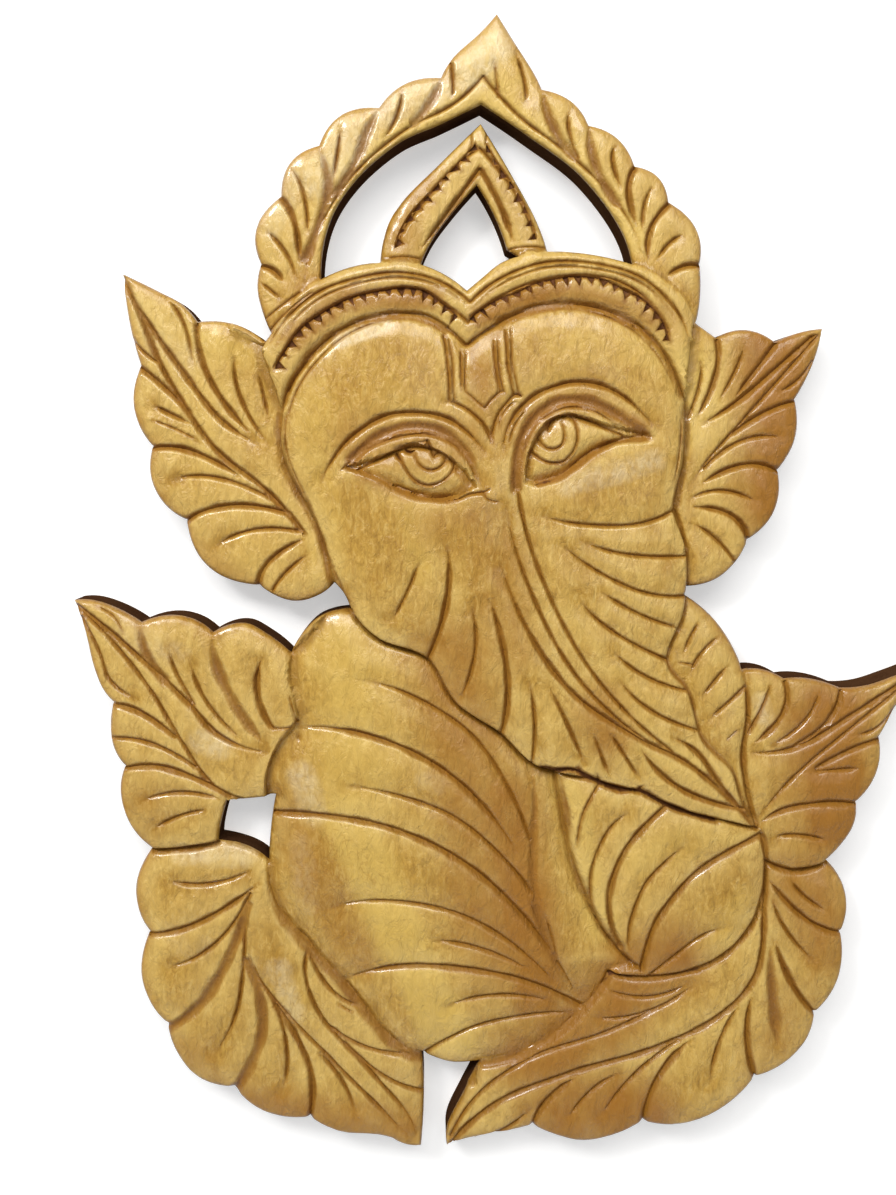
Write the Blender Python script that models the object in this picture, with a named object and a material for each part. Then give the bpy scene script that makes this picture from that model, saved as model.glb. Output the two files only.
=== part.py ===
"""Carved wooden wall plaque: an elephant-headed figure built of lobed leaves, cut from one board.

The front is relief carving, the back is flat.  The relief is drawn on a squared sheet, column to the
right and row downwards.  Its squares take their size from the plaque's width and height.
"""
import math

import bmesh
import bpy
import numpy as np
from mathutils import Vector
from mathutils.geometry import delaunay_2d_cdt

for thing in list(bpy.data.objects):
    bpy.data.objects.remove(thing, do_unlink=True)

# Driving sizes, in metres
PLAQUE_HEIGHT = 0.400
PLAQUE_WIDTH = 0.2965
BOARD_THICKNESS = 0.020

# How far the ears, which are level all over, lie below the board's face
EAR_DEPTH = 0.0055

# How far each raised part of the figure lies below the board's face: at its rim and at its crown
ARCH_DEPTH = (0.0040, 0.0032)
FLAME_DEPTH = (0.0052, 0.0045)
HAND_DEPTH = (0.0060, 0.0045)
LEG_DEPTH = (0.0075, 0.0055)
SHOULDER_DEPTH = (0.0055, 0.0045)
BODY_DEPTH = (0.0080, 0.0030)
ARM_DEPTH = (0.0052, 0.0036)
BAND_DEPTH = (0.0024, 0.0014)
HEAD_DEPTH = (0.0028, 0.0002)
EYE_DEPTH = (0.0030, 0.0010)

# Depths of the carved cuts, and of the rounding that dips towards every cut and rim
VEIN_CUT_DEPTH = 0.0014
BOLD_CUT_DEPTH = 0.0019
GOUGE_CUT_DEPTH = 0.0018
PILLOW_DEPTH = 0.0012

# Squares of the sheet: its highest and lowest rows, its outer columns, and the hanging point
TOP_ROW = 13.0
BOTTOM_ROW = 1153.0
LEFT_COLUMN = 72.0
RIGHT_COLUMN = 917.0
HANGING_COLUMN = 484.0
HANGING_ROW = 330.0

# Widths in squares: the cuts, the rounding beside them, and the soft edge of a raised part.
# A cut is drawn by its upper lip, and its floor lies lower on the sheet by CUT_DROP.
CUT_DROP = 2.0
VEIN = 6.0
BOLD = 8.5
GOUGE = 13.0
PILLOW_REACH = 17.0
STEP_REACH = 2.6

# How a cut runs out: the share of its length over which it narrows, the share of its width left at
# the tip, and how near another line has to be, in squares, to hold the end at its full width
RUN_OUT_SHARE = 0.4
TIP_SHARE = 0.12
HOLDING_GAP = 3.5

# Distance in squares from a raised part's rim to its crown
MOULDING_REACH = 12.0
BAND_REACH = 14.0
EYE_REACH = 20.0
SHOULDER_REACH = 30.0
ARM_REACH = 60.0
LEAF_REACH = 70.0
HEAD_REACH = 80.0
BODY_REACH = 120.0

# Fineness of the faceting, in squares
OUTLINE_TOLERANCE = 0.55
CUT_TOLERANCE = 0.9
LONGEST_RIM = 26.0
LONGEST_CUT = 30.0
FIELD_SPACING = 27.0
POINT_GAP = 3.0
CURVE_STEP = 3.0
PART_STEP = 6.0
LIP_GAP = 2.4
NARROWEST_LIP = 1.65
LIP_CLEARANCE = 0.9
FIELD_CLEARANCE = 11.3
JOINING_GAP = 0.05
BATCH = 500

SQUARE_WIDTH = PLAQUE_WIDTH / (RIGHT_COLUMN - LEFT_COLUMN)
SQUARE_HEIGHT = PLAQUE_HEIGHT / (BOTTOM_ROW - TOP_ROW)
CUT_DEPTHS = {VEIN: VEIN_CUT_DEPTH, BOLD: BOLD_CUT_DEPTH, GOUGE: GOUGE_CUT_DEPTH}

# The outline, as bows from corner to corner.  Each row gives a bow's inner points and its far corner.
CROWN_TIP = (497, 13)
CROWN_LEFT_LOBES = (
    ((480, 32), (453, 57), (441, 77)),
    ((405, 83), (379, 107)),
    ((340, 115), (319, 145)),
    ((290, 162), (281, 196)),
    ((256, 228), (261, 264)),
    ((257, 288), (263, 314), (271, 333)),
    ((265, 341),),
)
LEFT_EAR_LOBES = (
    ((232, 323), (196, 321)),
    ((180, 303), (158, 291), (121, 273)),
    ((123, 295), (129, 330), (139, 365)),
    ((131, 398), (137, 425), (151, 446)),
    ((149, 478), (163, 505), (185, 520)),
    ((206, 567), (258, 586)),
    ((292, 602), (318, 596), (334, 583)),
    ((343, 592), (351, 610)),
)
LEFT_HAND_LOBES = (
    ((320, 617), (304, 631), (290, 654)),
    ((268, 636), (243, 624), (212, 633)),
    ((192, 620), (168, 616), (140, 623)),
    ((115, 609), (90, 601), (72, 601)),
    ((82, 628), (92, 668), (101, 690), (112, 703)),
    ((109, 730), (113, 751), (124, 767)),
    ((119, 793), (128, 826), (150, 851)),
)
LEFT_LEG_LOBES = (
    ((134, 885), (137, 914), (148, 934)),
    ((139, 976), (149, 1007), (166, 1027)),
    ((173, 1052), (195, 1080), (233, 1091)),
    ((256, 1112), (283, 1121), (309, 1121)),
    ((340, 1136), (375, 1139), (392, 1143)),
    ((405, 1150), (421, 1152)),
    ((424, 1095), (422, 1059)),
)
BELLY_EDGE = (
    ((445, 1066), (480, 1068)),
)
RIGHT_LEG_LOBES = (
    ((462, 1101), (447, 1134), (447, 1152)),
    ((470, 1143), (500, 1137), (533, 1129)),
    ((556, 1139), (583, 1145), (615, 1139), (644, 1125)),
    ((675, 1129), (705, 1122), (735, 1104), (757, 1080)),
    ((785, 1068), (809, 1043), (817, 1016)),
    ((838, 989), (845, 960), (843, 935)),
    ((850, 908), (845, 884), (829, 863)),
)
RIGHT_HAND_LOBES = (
    ((848, 841), (857, 823), (858, 803)),
    ((875, 782), (882, 760), (881, 738)),
    ((889, 724), (899, 706), (917, 670)),
    ((896, 678), (868, 687), (842, 689)),
    ((812, 680), (786, 680)),
    ((765, 671), (744, 671)),
    ((731, 641), (711, 615), (685, 595)),
)
RIGHT_EAR_LOBES = (
    ((688, 587),),
    ((718, 580), (739, 561), (750, 540)),
    ((772, 520), (781, 497), (780, 470)),
    ((796, 444), (800, 421), (797, 399)),
    ((806, 384), (818, 357), (825, 328)),
    ((805, 331), (777, 341)),
    ((748, 329), (718, 337)),
    ((697, 322),),
)
CROWN_RIGHT_LOBES = (
    ((701, 292), (700, 264)),
    ((697, 229), (669, 202)),
    ((659, 177), (635, 166)),
    ((618, 138), (589, 125)),
    ((572, 101), (542, 89)),
    ((535, 74), (515, 42), (497, 13)),
)
OUTLINE = (CROWN_TIP, CROWN_LEFT_LOBES + LEFT_EAR_LOBES + LEFT_HAND_LOBES + LEFT_LEG_LOBES + BELLY_EDGE
           + RIGHT_LEG_LOBES + RIGHT_HAND_LOBES + RIGHT_EAR_LOBES + CROWN_RIGHT_LOBES)

# The three openings cut right through the board
CRESCENT_OPENING = ((481, 104), (
    ((440, 124), (400, 142), (355, 181), (330, 222), (321, 279)),
    ((350, 267), (380, 262)),
    ((386, 229), (400, 203), (440, 162), (481, 122)),
    ((510, 170), (537, 220), (548, 251)),
    ((590, 254), (632, 264)),
    ((620, 228), (580, 175), (530, 137), (481, 104)),
))
HEART_OPENING = ((477, 184), (
    ((495, 216), (507, 249)),
    ((518, 256),),
    ((500, 263), (483, 277), (467, 290)),
    ((445, 274), (421, 264)),
    ((432, 240), (450, 215), (477, 184)),
))
HAND_OPENING = ((226, 802), (
    ((274, 798),),
    ((269, 830), (267, 864)),
    ((252, 853), (217, 843)),
    ((219, 828), (226, 802)),
))

# Edges where one carved part rises over the next
BAND_TOP_LEFT = ((262, 350), (277, 325), (305, 290), (321, 279), (350, 267), (380, 262), (421, 264),
                 (467, 290))
BAND_TOP_RIGHT = ((467, 290), (500, 263), (518, 256), (548, 251), (590, 254), (632, 264), (665, 282),
                  (688, 308), (690, 345))
FOREHEAD_LEFT = ((283, 410), (295, 378), (320, 347), (350, 325), (390, 313), (425, 315), (450, 330),
                 (466, 345))
FOREHEAD_RIGHT = ((466, 345), (500, 322), (540, 305), (580, 304), (625, 318), (660, 347), (684, 400))
HEAD_RIGHT = ((684, 400), (683, 460), (673, 510), (687, 555), (684, 610), (667, 660), (688, 690), (702, 737),
              (731, 768), (742, 800), (758, 828))
HEAD_LOWER = ((758, 828), (720, 818), (680, 808), (640, 791), (590, 778), (535, 765), (500, 733), (455, 702),
              (427, 658), (378, 638), (351, 610))
HEAD_LEFT = ((334, 583), (320, 530), (287, 465), (281, 440), (283, 410))
BODY_LEFT = ((290, 654), (289, 680), (296, 722), (281, 742), (268, 768), (266, 798))
BODY_LOWER_LEFT = ((266, 866), (275, 905), (305, 943), (350, 993), (390, 1041), (423, 1060))
BODY_LOWER_RIGHT = ((480, 1067), (540, 1048), (590, 1005), (611, 976))
BODY_RIGHT = ((638, 968), (605, 932), (574, 862), (567, 830), (556, 770))
ARM_LOWER = ((762, 833), (767, 870), (755, 920), (720, 958), (665, 976), (610, 974))
HAND_ROOT = ((745, 672), (749, 715), (744, 755), (758, 828))

# The raised parts, lowest first: a closed loop of carved edges and free corners for each
ARCH_PART = ((230, 5), (730, 5), (730, 300), (697, 322), (690, 330), (467, 300), (262, 345), (230, 330))
FLAME_PART = ((372, 270), (376, 250), (400, 198), (481, 112), (540, 200), (556, 252), (518, 262), (467, 300))
LEFT_HAND_PART = ((50, 585), (150, 592), (300, 612), (300, 850), (217, 844), (150, 852), (50, 852))
LEFT_LEG_PART = ((50, 852), (150, 852), (217, 844), (300, 850), (430, 1050), (435, 1200), (50, 1200))
RIGHT_LEG_PART = ((435, 1200), (440, 1055), (600, 950), (768, 862), (829, 866), (930, 866), (930, 1200))
SHOULDER_PART = ((660, 560), (684, 590), (752, 660), HAND_ROOT, (640, 700))
RIGHT_HAND_PART = ((750, 655), (935, 655), (935, 866), (829, 866), (795, 871), (767, 862), HAND_ROOT[::-1])
BODY_PART = ((335, 604), BODY_LEFT, (267, 830), BODY_LOWER_LEFT, (430, 1090), (475, 1090),
             BODY_LOWER_RIGHT, BODY_RIGHT, (440, 620))
ARM_PART = (ARM_LOWER, BODY_RIGHT, (600, 740), (740, 790))
BAND_PART = (BAND_TOP_LEFT, BAND_TOP_RIGHT, FOREHEAD_RIGHT[::-1], FOREHEAD_LEFT[::-1])
HEAD_PART = (FOREHEAD_LEFT, FOREHEAD_RIGHT, HEAD_RIGHT, HEAD_LOWER, HEAD_LEFT)
LEFT_EYE_PART = (((346, 467), (385, 455), (415, 444), (452, 460), (474, 486)),
                 ((474, 486), (445, 499), (405, 492), (375, 477), (346, 467)))
RIGHT_EYE_PART = (((525, 482), (532, 446), (560, 416), (610, 426), (650, 436)),
                  ((650, 436), (600, 448), (555, 477), (525, 482)))
RAISED_PARTS = (
    (ARCH_PART, ARCH_DEPTH, MOULDING_REACH),
    (FLAME_PART, FLAME_DEPTH, MOULDING_REACH),
    (LEFT_HAND_PART, HAND_DEPTH, LEAF_REACH),
    (LEFT_LEG_PART, LEG_DEPTH, LEAF_REACH),
    (RIGHT_LEG_PART, LEG_DEPTH, LEAF_REACH),
    (SHOULDER_PART, SHOULDER_DEPTH, SHOULDER_REACH),
    (RIGHT_HAND_PART, HAND_DEPTH, LEAF_REACH),
    (BODY_PART, BODY_DEPTH, BODY_REACH),
    (ARM_PART, ARM_DEPTH, ARM_REACH),
    (BAND_PART, BAND_DEPTH, BAND_REACH),
    (HEAD_PART, HEAD_DEPTH, HEAD_REACH),
    (LEFT_EYE_PART, EYE_DEPTH, EYE_REACH),
    (RIGHT_EYE_PART, EYE_DEPTH, EYE_REACH),
)

# The cuts, each a smooth stroke through a few points
CROWN_CUTS = (
    (BOLD, (483, 75), (455, 102), (405, 129), (355, 172), (318, 230), (304, 283)),
    (BOLD, (483, 75), (520, 116), (565, 150), (600, 182), (628, 218), (640, 250)),
    (GOUGE, (441, 77), (432, 97), (412, 122)),
    (VEIN, (451, 62), (453, 82), (452, 98)),
    (VEIN, (402, 88), (398, 112), (384, 138)),
    (GOUGE, (379, 107), (367, 130), (360, 150), (335, 192)),
    (VEIN, (341, 125), (338, 150), (333, 180)),
    (GOUGE, (319, 145), (329, 185), (324, 205), (305, 260)),
    (VEIN, (291, 167), (303, 190), (308, 233)),
    (BOLD, (281, 196), (293, 215), (300, 262)),
    (VEIN, (266, 229), (287, 253), (296, 278)),
    (BOLD, (261, 264), (273, 268), (284, 280)),
    (VEIN, (261, 281), (281, 297)),
    (VEIN, (515, 52), (524, 80), (526, 103)),
    (GOUGE, (542, 89), (553, 125), (575, 155)),
    (VEIN, (569, 110), (568, 125), (578, 157)),
    (GOUGE, (589, 125), (590, 145), (597, 168), (618, 203)),
    (VEIN, (616, 143), (612, 155), (620, 185)),
    (BOLD, (635, 166), (628, 185), (637, 225)),
    (VEIN, (653, 185), (645, 200), (642, 230)),
    (BOLD, (669, 202), (650, 228), (648, 258)),
    (VEIN, (682, 234), (670, 241), (657, 258)),
    (BOLD, (700, 264), (685, 264), (666, 274)),
)
FLAME_CUTS = (
    (BOLD, (480, 166), (450, 207), (420, 248)),
    (BOLD, (480, 166), (502, 207), (513, 240)),
    (VEIN, (399, 243), (405, 226), (427, 197), (455, 165), (480, 146)),
    (VEIN, (480, 146), (505, 176), (522, 202), (535, 238)),
)
BAND_CUTS = (
    (VEIN, (266, 350), (290, 315), (320, 291), (360, 277), (400, 272), (440, 281), (470, 302)),
    (VEIN, (275, 368), (305, 325), (340, 302), (380, 290), (420, 292), (450, 307), (468, 322)),
    (VEIN, (470, 302), (500, 278), (545, 262), (600, 264), (645, 280), (682, 322), (687, 360)),
    (VEIN, (468, 322), (500, 296), (545, 279), (605, 277), (643, 296), (668, 328)),
    (BOLD,) + FOREHEAD_LEFT,
    (BOLD,) + FOREHEAD_RIGHT,
)
LEFT_EYE_CUTS = (
    (VEIN, (321, 481), (340, 445), (375, 418), (415, 410), (450, 418), (488, 455)),
    (BOLD, (345, 462), (370, 440), (415, 422), (445, 432), (470, 460), (483, 492)),
    (VEIN, (346, 467), (375, 477), (405, 492), (445, 499), (483, 492)),
    (VEIN, (358, 471), (385, 455), (415, 446), (452, 460)),
)
RIGHT_EYE_CUTS = (
    (VEIN, (504, 447), (515, 412), (550, 384), (600, 384), (650, 420)),
    (BOLD, (517, 490), (515, 440), (540, 406), (580, 397), (620, 412), (650, 432)),
    (VEIN, (525, 483), (555, 477), (585, 458), (615, 442), (648, 437)),
    (VEIN, (527, 465), (545, 425), (575, 415), (610, 427), (650, 436)),
)
FACE_CUTS = (
    (BOLD,) + HEAD_LOWER,
    (BOLD, (351, 610), (334, 583), (320, 530), (287, 465), (281, 440), (283, 410)),
    (BOLD, (684, 400), (683, 460), (673, 510), (687, 555), (684, 610), (667, 660), (688, 690), (702, 737),
     (731, 768), (742, 800), (758, 828)),
    (VEIN, (448, 333), (451, 375), (448, 402), (460, 402), (488, 435)),
    (VEIN, (502, 328), (508, 392), (490, 435)),
    (BOLD, (447, 543), (447, 595), (427, 658)),
    (VEIN, (419, 560), (407, 590), (393, 617)),
    (VEIN, (471, 603), (475, 645), (460, 697)),
    (BOLD, (490, 598), (507, 680), (500, 733)),
    (VEIN, (528, 677), (534, 720), (531, 762)),
    (VEIN, (548, 683), (567, 722), (584, 762)),
    (VEIN, (592, 730), (608, 772)),
    (VEIN, (608, 728), (638, 775)),
    (BOLD, (640, 745), (660, 770), (690, 790), (745, 806)),
    (VEIN, (517, 485), (530, 545), (565, 627), (605, 687), (670, 748)),
    (VEIN, (506, 503), (519, 560), (565, 658), (612, 712), (655, 742)),
    (BOLD, (500, 560), (530, 632), (573, 690), (635, 733), (690, 762), (758, 828)),
    (VEIN, (540, 513), (580, 522), (640, 521), (673, 508)),
    (VEIN, (582, 539), (620, 551), (686, 554)),
    (VEIN, (562, 543), (590, 565), (640, 589), (684, 594)),
    (VEIN, (599, 588), (635, 610), (682, 627)),
    (VEIN, (579, 597), (600, 620), (667, 658)),
    (VEIN, (611, 647), (640, 671), (685, 688)),
    (VEIN, (617, 675), (645, 704), (698, 728)),
    (BOLD, (671, 733), (697, 750), (720, 783), (745, 812)),
)
LEFT_EAR_CUTS = (
    (BOLD, (121, 275), (135, 303), (165, 372), (215, 447), (262, 485), (303, 530)),
    (BOLD, (133, 300), (180, 366), (220, 417), (258, 441)),
    (VEIN, (165, 297), (180, 315), (192, 362)),
    (BOLD, (196, 321), (206, 370), (252, 433)),
    (VEIN, (234, 352), (238, 390), (268, 443)),
    (VEIN, (258, 372), (268, 415)),
    (VEIN, (130, 336), (145, 352), (157, 360)),
    (BOLD, (139, 365), (163, 384), (190, 412)),
    (VEIN, (151, 403), (190, 422)),
    (BOLD, (151, 446), (180, 446), (210, 457), (240, 475)),
    (VEIN, (170, 479), (210, 475), (275, 500)),
    (BOLD, (185, 520), (203, 509), (240, 503), (290, 512)),
    (VEIN, (215, 545), (250, 529), (300, 530)),
    (BOLD, (258, 586), (265, 564), (303, 537)),
    (VEIN, (272, 590), (282, 575), (307, 553)),
)
RIGHT_EAR_CUTS = (
    (VEIN, (700, 358), (702, 372), (689, 416)),
    (BOLD, (718, 337), (717, 370), (697, 416)),
    (VEIN, (744, 345), (741, 358), (721, 397)),
    (BOLD, (777, 341), (765, 357), (736, 395)),
    (BOLD, (815, 333), (775, 368), (740, 398), (702, 422)),
    (VEIN, (822, 331), (780, 378), (740, 423), (706, 462), (690, 486)),
    (VEIN, (815, 357), (797, 380), (779, 390)),
    (BOLD, (797, 399), (770, 408), (735, 430)),
    (VEIN, (783, 436), (745, 438), (705, 467)),
    (BOLD, (780, 470), (750, 462), (703, 481)),
    (VEIN, (757, 500), (720, 489), (690, 498)),
    (BOLD, (750, 540), (735, 515), (692, 505)),
    (VEIN, (736, 560), (715, 536), (694, 522)),
)
SHOULDER_CUTS = (
    (VEIN, (700, 620), (691, 635), (684, 652)),
    (VEIN, (720, 635), (703, 650), (690, 672)),
    (VEIN, (727, 665), (702, 695)),
    (VEIN, (746, 686), (710, 717)),
    (BOLD,) + HAND_ROOT,
)
RIGHT_HAND_CUTS = (
    (VEIN, (771, 683), (766, 700), (750, 732)),
    (BOLD, (786, 680), (785, 708), (755, 742)),
    (VEIN, (820, 690), (807, 717), (773, 744)),
    (BOLD, (842, 689), (830, 717), (797, 743)),
    (BOLD, (910, 677), (860, 708), (800, 744), (752, 751)),
    (VEIN, (912, 680), (850, 728), (790, 780), (760, 818)),
    (VEIN, (896, 706), (878, 726), (858, 733)),
    (BOLD, (881, 738), (855, 746), (815, 768)),
    (VEIN, (860, 767), (817, 770)),
    (BOLD, (858, 803), (825, 801), (785, 808), (762, 822)),
    (VEIN, (828, 840), (795, 834), (775, 837)),
    (BOLD, (829, 863), (795, 871), (767, 861)),
)
LEFT_HAND_CUTS = (
    (BOLD, (75, 603), (110, 630), (150, 665), (190, 703), (212, 728), (240, 744), (269, 750)),
    (GOUGE, (140, 623), (146, 650), (167, 679)),
    (VEIN, (78, 609), (110, 638), (150, 688), (180, 738), (212, 783), (242, 798)),
    (VEIN, (80, 615), (100, 653), (109, 678), (138, 698)),
    (BOLD, (112, 703), (133, 707), (175, 735)),
    (VEIN, (112, 737), (148, 741), (195, 766)),
    (BOLD, (124, 767), (155, 764), (192, 775), (230, 795)),
    (VEIN, (143, 799), (180, 791), (222, 799)),
    (VEIN, (153, 828), (182, 814), (208, 809)),
    (VEIN, (168, 650), (178, 675), (194, 703)),
    (VEIN, (190, 660), (205, 698), (240, 737)),
    (GOUGE, (212, 633), (216, 660), (238, 706), (265, 741)),
    (BOLD, (262, 655), (257, 690), (273, 728)),
    (BOLD, (150, 851), (185, 849), (217, 843)),
)
LEFT_LEG_CUTS = (
    (VEIN, (168, 881), (207, 884), (250, 871)),
    (BOLD, (148, 934), (185, 927), (225, 907), (256, 884)),
    (VEIN, (168, 967), (213, 945), (250, 893)),
    (GOUGE, (166, 1027), (202, 999), (234, 942), (247, 900)),
    (VEIN, (215, 1053), (235, 1015), (242, 975), (244, 920)),
    (GOUGE, (233, 1091), (260, 1037), (261, 1003), (245, 957)),
    (VEIN, (281, 1092), (287, 1060), (278, 1012), (262, 985)),
    (BOLD, (309, 1121), (311, 1075), (298, 1040), (275, 1005)),
    (VEIN, (253, 970), (275, 1001), (335, 1064), (393, 1122), (408, 1140)),
    (VEIN, (354, 1112), (343, 1083), (317, 1052)),
    (VEIN, (308, 948), (305, 975), (320, 1015), (375, 1077), (408, 1117), (417, 1140)),
    (VEIN, (330, 1027), (365, 1047), (410, 1056)),
    (VEIN, (345, 1043), (383, 1076), (424, 1094)),
    (VEIN, (307, 950), (333, 992), (362, 1008)),
)
BELLY_CUTS = (
    (BOLD,) + BODY_LEFT,
    (GOUGE,) + BODY_LOWER_LEFT,
    (GOUGE,) + BODY_LOWER_RIGHT,
    (GOUGE, (556, 770), (567, 830), (574, 862), (605, 932), (638, 968)),
    (VEIN, (358, 677), (412, 694), (473, 735), (511, 792), (530, 840)),
    (BOLD, (296, 727), (350, 729), (408, 747), (463, 783), (517, 850)),
    (VEIN, (347, 783), (402, 794), (455, 815), (500, 853), (532, 892)),
    (BOLD, (273, 813), (335, 814), (395, 826), (465, 860), (530, 922), (580, 1001)),
    (VEIN, (330, 908), (375, 898), (450, 908), (505, 936), (560, 988)),
    (VEIN, (433, 937), (482, 946), (527, 967)),
    (BOLD, (343, 981), (393, 965), (445, 963), (520, 977), (583, 1009)),
    (VEIN, (447, 1004), (495, 993), (552, 1002)),
    (VEIN, (423, 1058), (470, 1028), (530, 1015), (575, 1016)),
    (BOLD, (531, 768), (536, 800), (533, 880), (545, 935), (570, 990)),
)
ARM_CUTS = (
    (VEIN, (598, 785), (582, 813), (577, 848)),
    (VEIN, (626, 813), (597, 850), (589, 882), (598, 922)),
    (BOLD, (664, 804), (626, 848), (609, 892), (622, 948)),
    (VEIN, (683, 844), (643, 883), (629, 922), (630, 953)),
    (BOLD, (762, 833), (697, 869), (655, 921), (642, 967)),
    (VEIN, (723, 926), (682, 948), (649, 975)),
    (GOUGE,) + ARM_LOWER,
)
RIGHT_LEG_CUTS = (
    (VEIN, (608, 990), (650, 997), (690, 983)),
    (VEIN, (595, 1018), (648, 1012), (695, 984)),
    (VEIN, (450, 1143), (480, 1094), (535, 1057), (610, 1031), (662, 1006)),
    (BOLD, (451, 1147), (495, 1104), (570, 1073), (660, 1046), (725, 1012), (758, 972), (766, 900),
     (768, 866)),
    (VEIN, (470, 1144), (508, 1128), (530, 1109)),
    (BOLD, (533, 1129), (542, 1107), (575, 1078)),
    (VEIN, (569, 1118), (592, 1091), (619, 1074)),
    (VEIN, (602, 1116), (637, 1073), (680, 1041)),
    (BOLD, (644, 1125), (657, 1080), (693, 1038)),
    (VEIN, (711, 1080), (721, 1040), (740, 1006)),
    (BOLD, (757, 1080), (748, 1038), (752, 997)),
    (GOUGE, (779, 1045), (774, 1000), (771, 945)),
    (BOLD, (817, 1014), (795, 986), (776, 940)),
    (VEIN, (813, 959), (786, 928), (774, 900)),
    (BOLD, (843, 933), (810, 920), (771, 880)),
    (VEIN, (826, 910), (803, 894), (793, 880)),
)
ALL_CUTS = (CROWN_CUTS + FLAME_CUTS + BAND_CUTS + FACE_CUTS + BELLY_CUTS + ARM_CUTS + LEFT_EYE_CUTS
            + RIGHT_EYE_CUTS + LEFT_EAR_CUTS + RIGHT_EAR_CUTS + SHOULDER_CUTS + RIGHT_HAND_CUTS
            + LEFT_HAND_CUTS + LEFT_LEG_CUTS + RIGHT_LEG_CUTS)

# The rows of saw-tooth notches below the band's inner line and along the flame
TOOTH_PITCH = 14.5
TOOTH_LENGTH = 11.0
FLAME_TOOTH_LENGTH = 8.0
BAND_TOOTH_LINES = (
    ((277, 362), (305, 325), (340, 302), (380, 290), (420, 292), (450, 307), (464, 319)),
    ((472, 319), (500, 296), (545, 279), (605, 277), (643, 296), (666, 325)),
)
FLAME_TOOTH_LINES = (
    ((399, 243), (405, 226), (427, 197), (455, 165), (474, 151)),
    ((487, 153), (505, 176), (522, 202), (535, 238)),
)


def smooth_through(points, step=2.0):
    """A smooth curve through the points, as dense points about a step apart."""
    points = np.array(points, dtype=float)
    if len(points) == 2:
        count = max(2, int(np.hypot(*(points[1] - points[0])) / step) + 1)
        return points[0] + np.linspace(0, 1, count)[:, None] * (points[1] - points[0])
    gaps = np.sqrt(np.hypot(*np.diff(points, axis=0).T))
    knots = np.concatenate(([0.0], np.cumsum(gaps)))
    slopes = np.diff(points, axis=0) / gaps[:, None]
    tangents = np.empty_like(points)
    share = (gaps[:-1] / (gaps[:-1] + gaps[1:]))[:, None]
    tangents[1:-1] = slopes[:-1] * (1 - share) + slopes[1:] * share
    tangents[0] = 2 * slopes[0] - tangents[1]
    tangents[-1] = 2 * slopes[-1] - tangents[-2]
    dense = [points[:1]]
    for index, gap in enumerate(gaps):
        count = max(2, int(gap * gap / step) + 1)
        t = np.linspace(0, 1, count + 1)[1:, None]
        rise = 3 * t**2 - 2 * t**3
        dense.append((1 - rise) * points[index] + rise * points[index + 1]
                     + (t**3 - 2 * t**2 + t) * gap * tangents[index]
                     + (t**3 - t**2) * gap * tangents[index + 1])
    return np.vstack(dense)


def thinned(points, tolerance, longest):
    """Few of the points, keeping the curve within the tolerance, no two further apart than longest."""
    keep = [0, len(points) - 1]
    spans = [(0, len(points) - 1)]
    while spans:
        low, high = spans.pop()
        if high - low < 2:
            continue
        chord = points[high] - points[low]
        length = max(math.hypot(*chord), 1e-9)
        inner = points[low + 1:high] - points[low]
        away = np.abs(inner[:, 0] * chord[1] - inner[:, 1] * chord[0]) / length
        if np.hypot(*chord) < 1e-6:
            away = np.hypot(*inner.T)
        middle = low + 1 + int(np.argmax(away))
        if away.max() < tolerance:
            if length < longest:
                continue
            middle = (low + high) // 2
        keep.append(middle)
        spans += [(low, middle), (middle, high)]
    return points[sorted(set(keep))]


def loop_points(start, bows, tolerance):
    """A closed loop of bows, each from the last corner through its inner points to its own corner."""
    corners = []
    for bow in bows:
        stretch = smooth_through((start,) + tuple(bow))
        corners.append(thinned(stretch, tolerance, LONGEST_RIM)[:-1])
        start = bow[-1]
    return np.vstack(corners)


def segment_distances(places, starts, ends):
    """The distance of every place to every segment, and how far along it the nearest point lies."""
    along = ends - starts
    lengths = np.maximum((along ** 2).sum(axis=1), 1e-9)
    across = places[:, None] - starts
    share = np.clip((across * along).sum(axis=2) / lengths, 0, 1)
    return np.hypot(*np.moveaxis(across - share[:, :, None] * along, 2, 0)), share


def inside(places, loop):
    """Whether each place lies in the closed loop."""
    result = np.zeros(len(places), dtype=bool)
    for start, end in zip(loop, np.roll(loop, -1, axis=0)):
        spans = (start[1] > places[:, 1]) != (end[1] > places[:, 1])
        rise = end[1] - start[1]
        crossing = start[0] + (places[:, 1] - start[1]) * (end[0] - start[0]) / (rise if rise else 1.0)
        result ^= spans & (places[:, 0] < crossing)
    return result


def rim_distances(places, loop):
    """The distance of every place to the closed loop."""
    return segment_distances(places, loop, np.roll(loop, -1, axis=0))[0].min(axis=1)


def tooth_strokes(line, length):
    """Short notches at the tooth pitch, each from the line towards the figure's middle."""
    dense = smooth_through(line)
    run = np.concatenate(([0.0], np.cumsum(np.hypot(*np.diff(dense, axis=0).T))))
    count = max(2, round(run[-1] / TOOTH_PITCH))
    strokes = []
    for place in np.linspace(0.5, count - 0.5, count) * run[-1] / count:
        index = min(int(np.searchsorted(run, place)), len(dense) - 1)
        along = dense[index] - dense[index - 1]
        across = np.array((-along[1], along[0])) / math.hypot(*along)
        strokes.append((VEIN, tuple(dense[index]), tuple(dense[index] + across * length)))
    return strokes


RIM = loop_points(*OUTLINE, OUTLINE_TOLERANCE)
OPENINGS = [loop_points(*loop, OUTLINE_TOLERANCE) for loop in (CRESCENT_OPENING, HEART_OPENING, HAND_OPENING)]
LOOPS = [RIM] + OPENINGS


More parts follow.
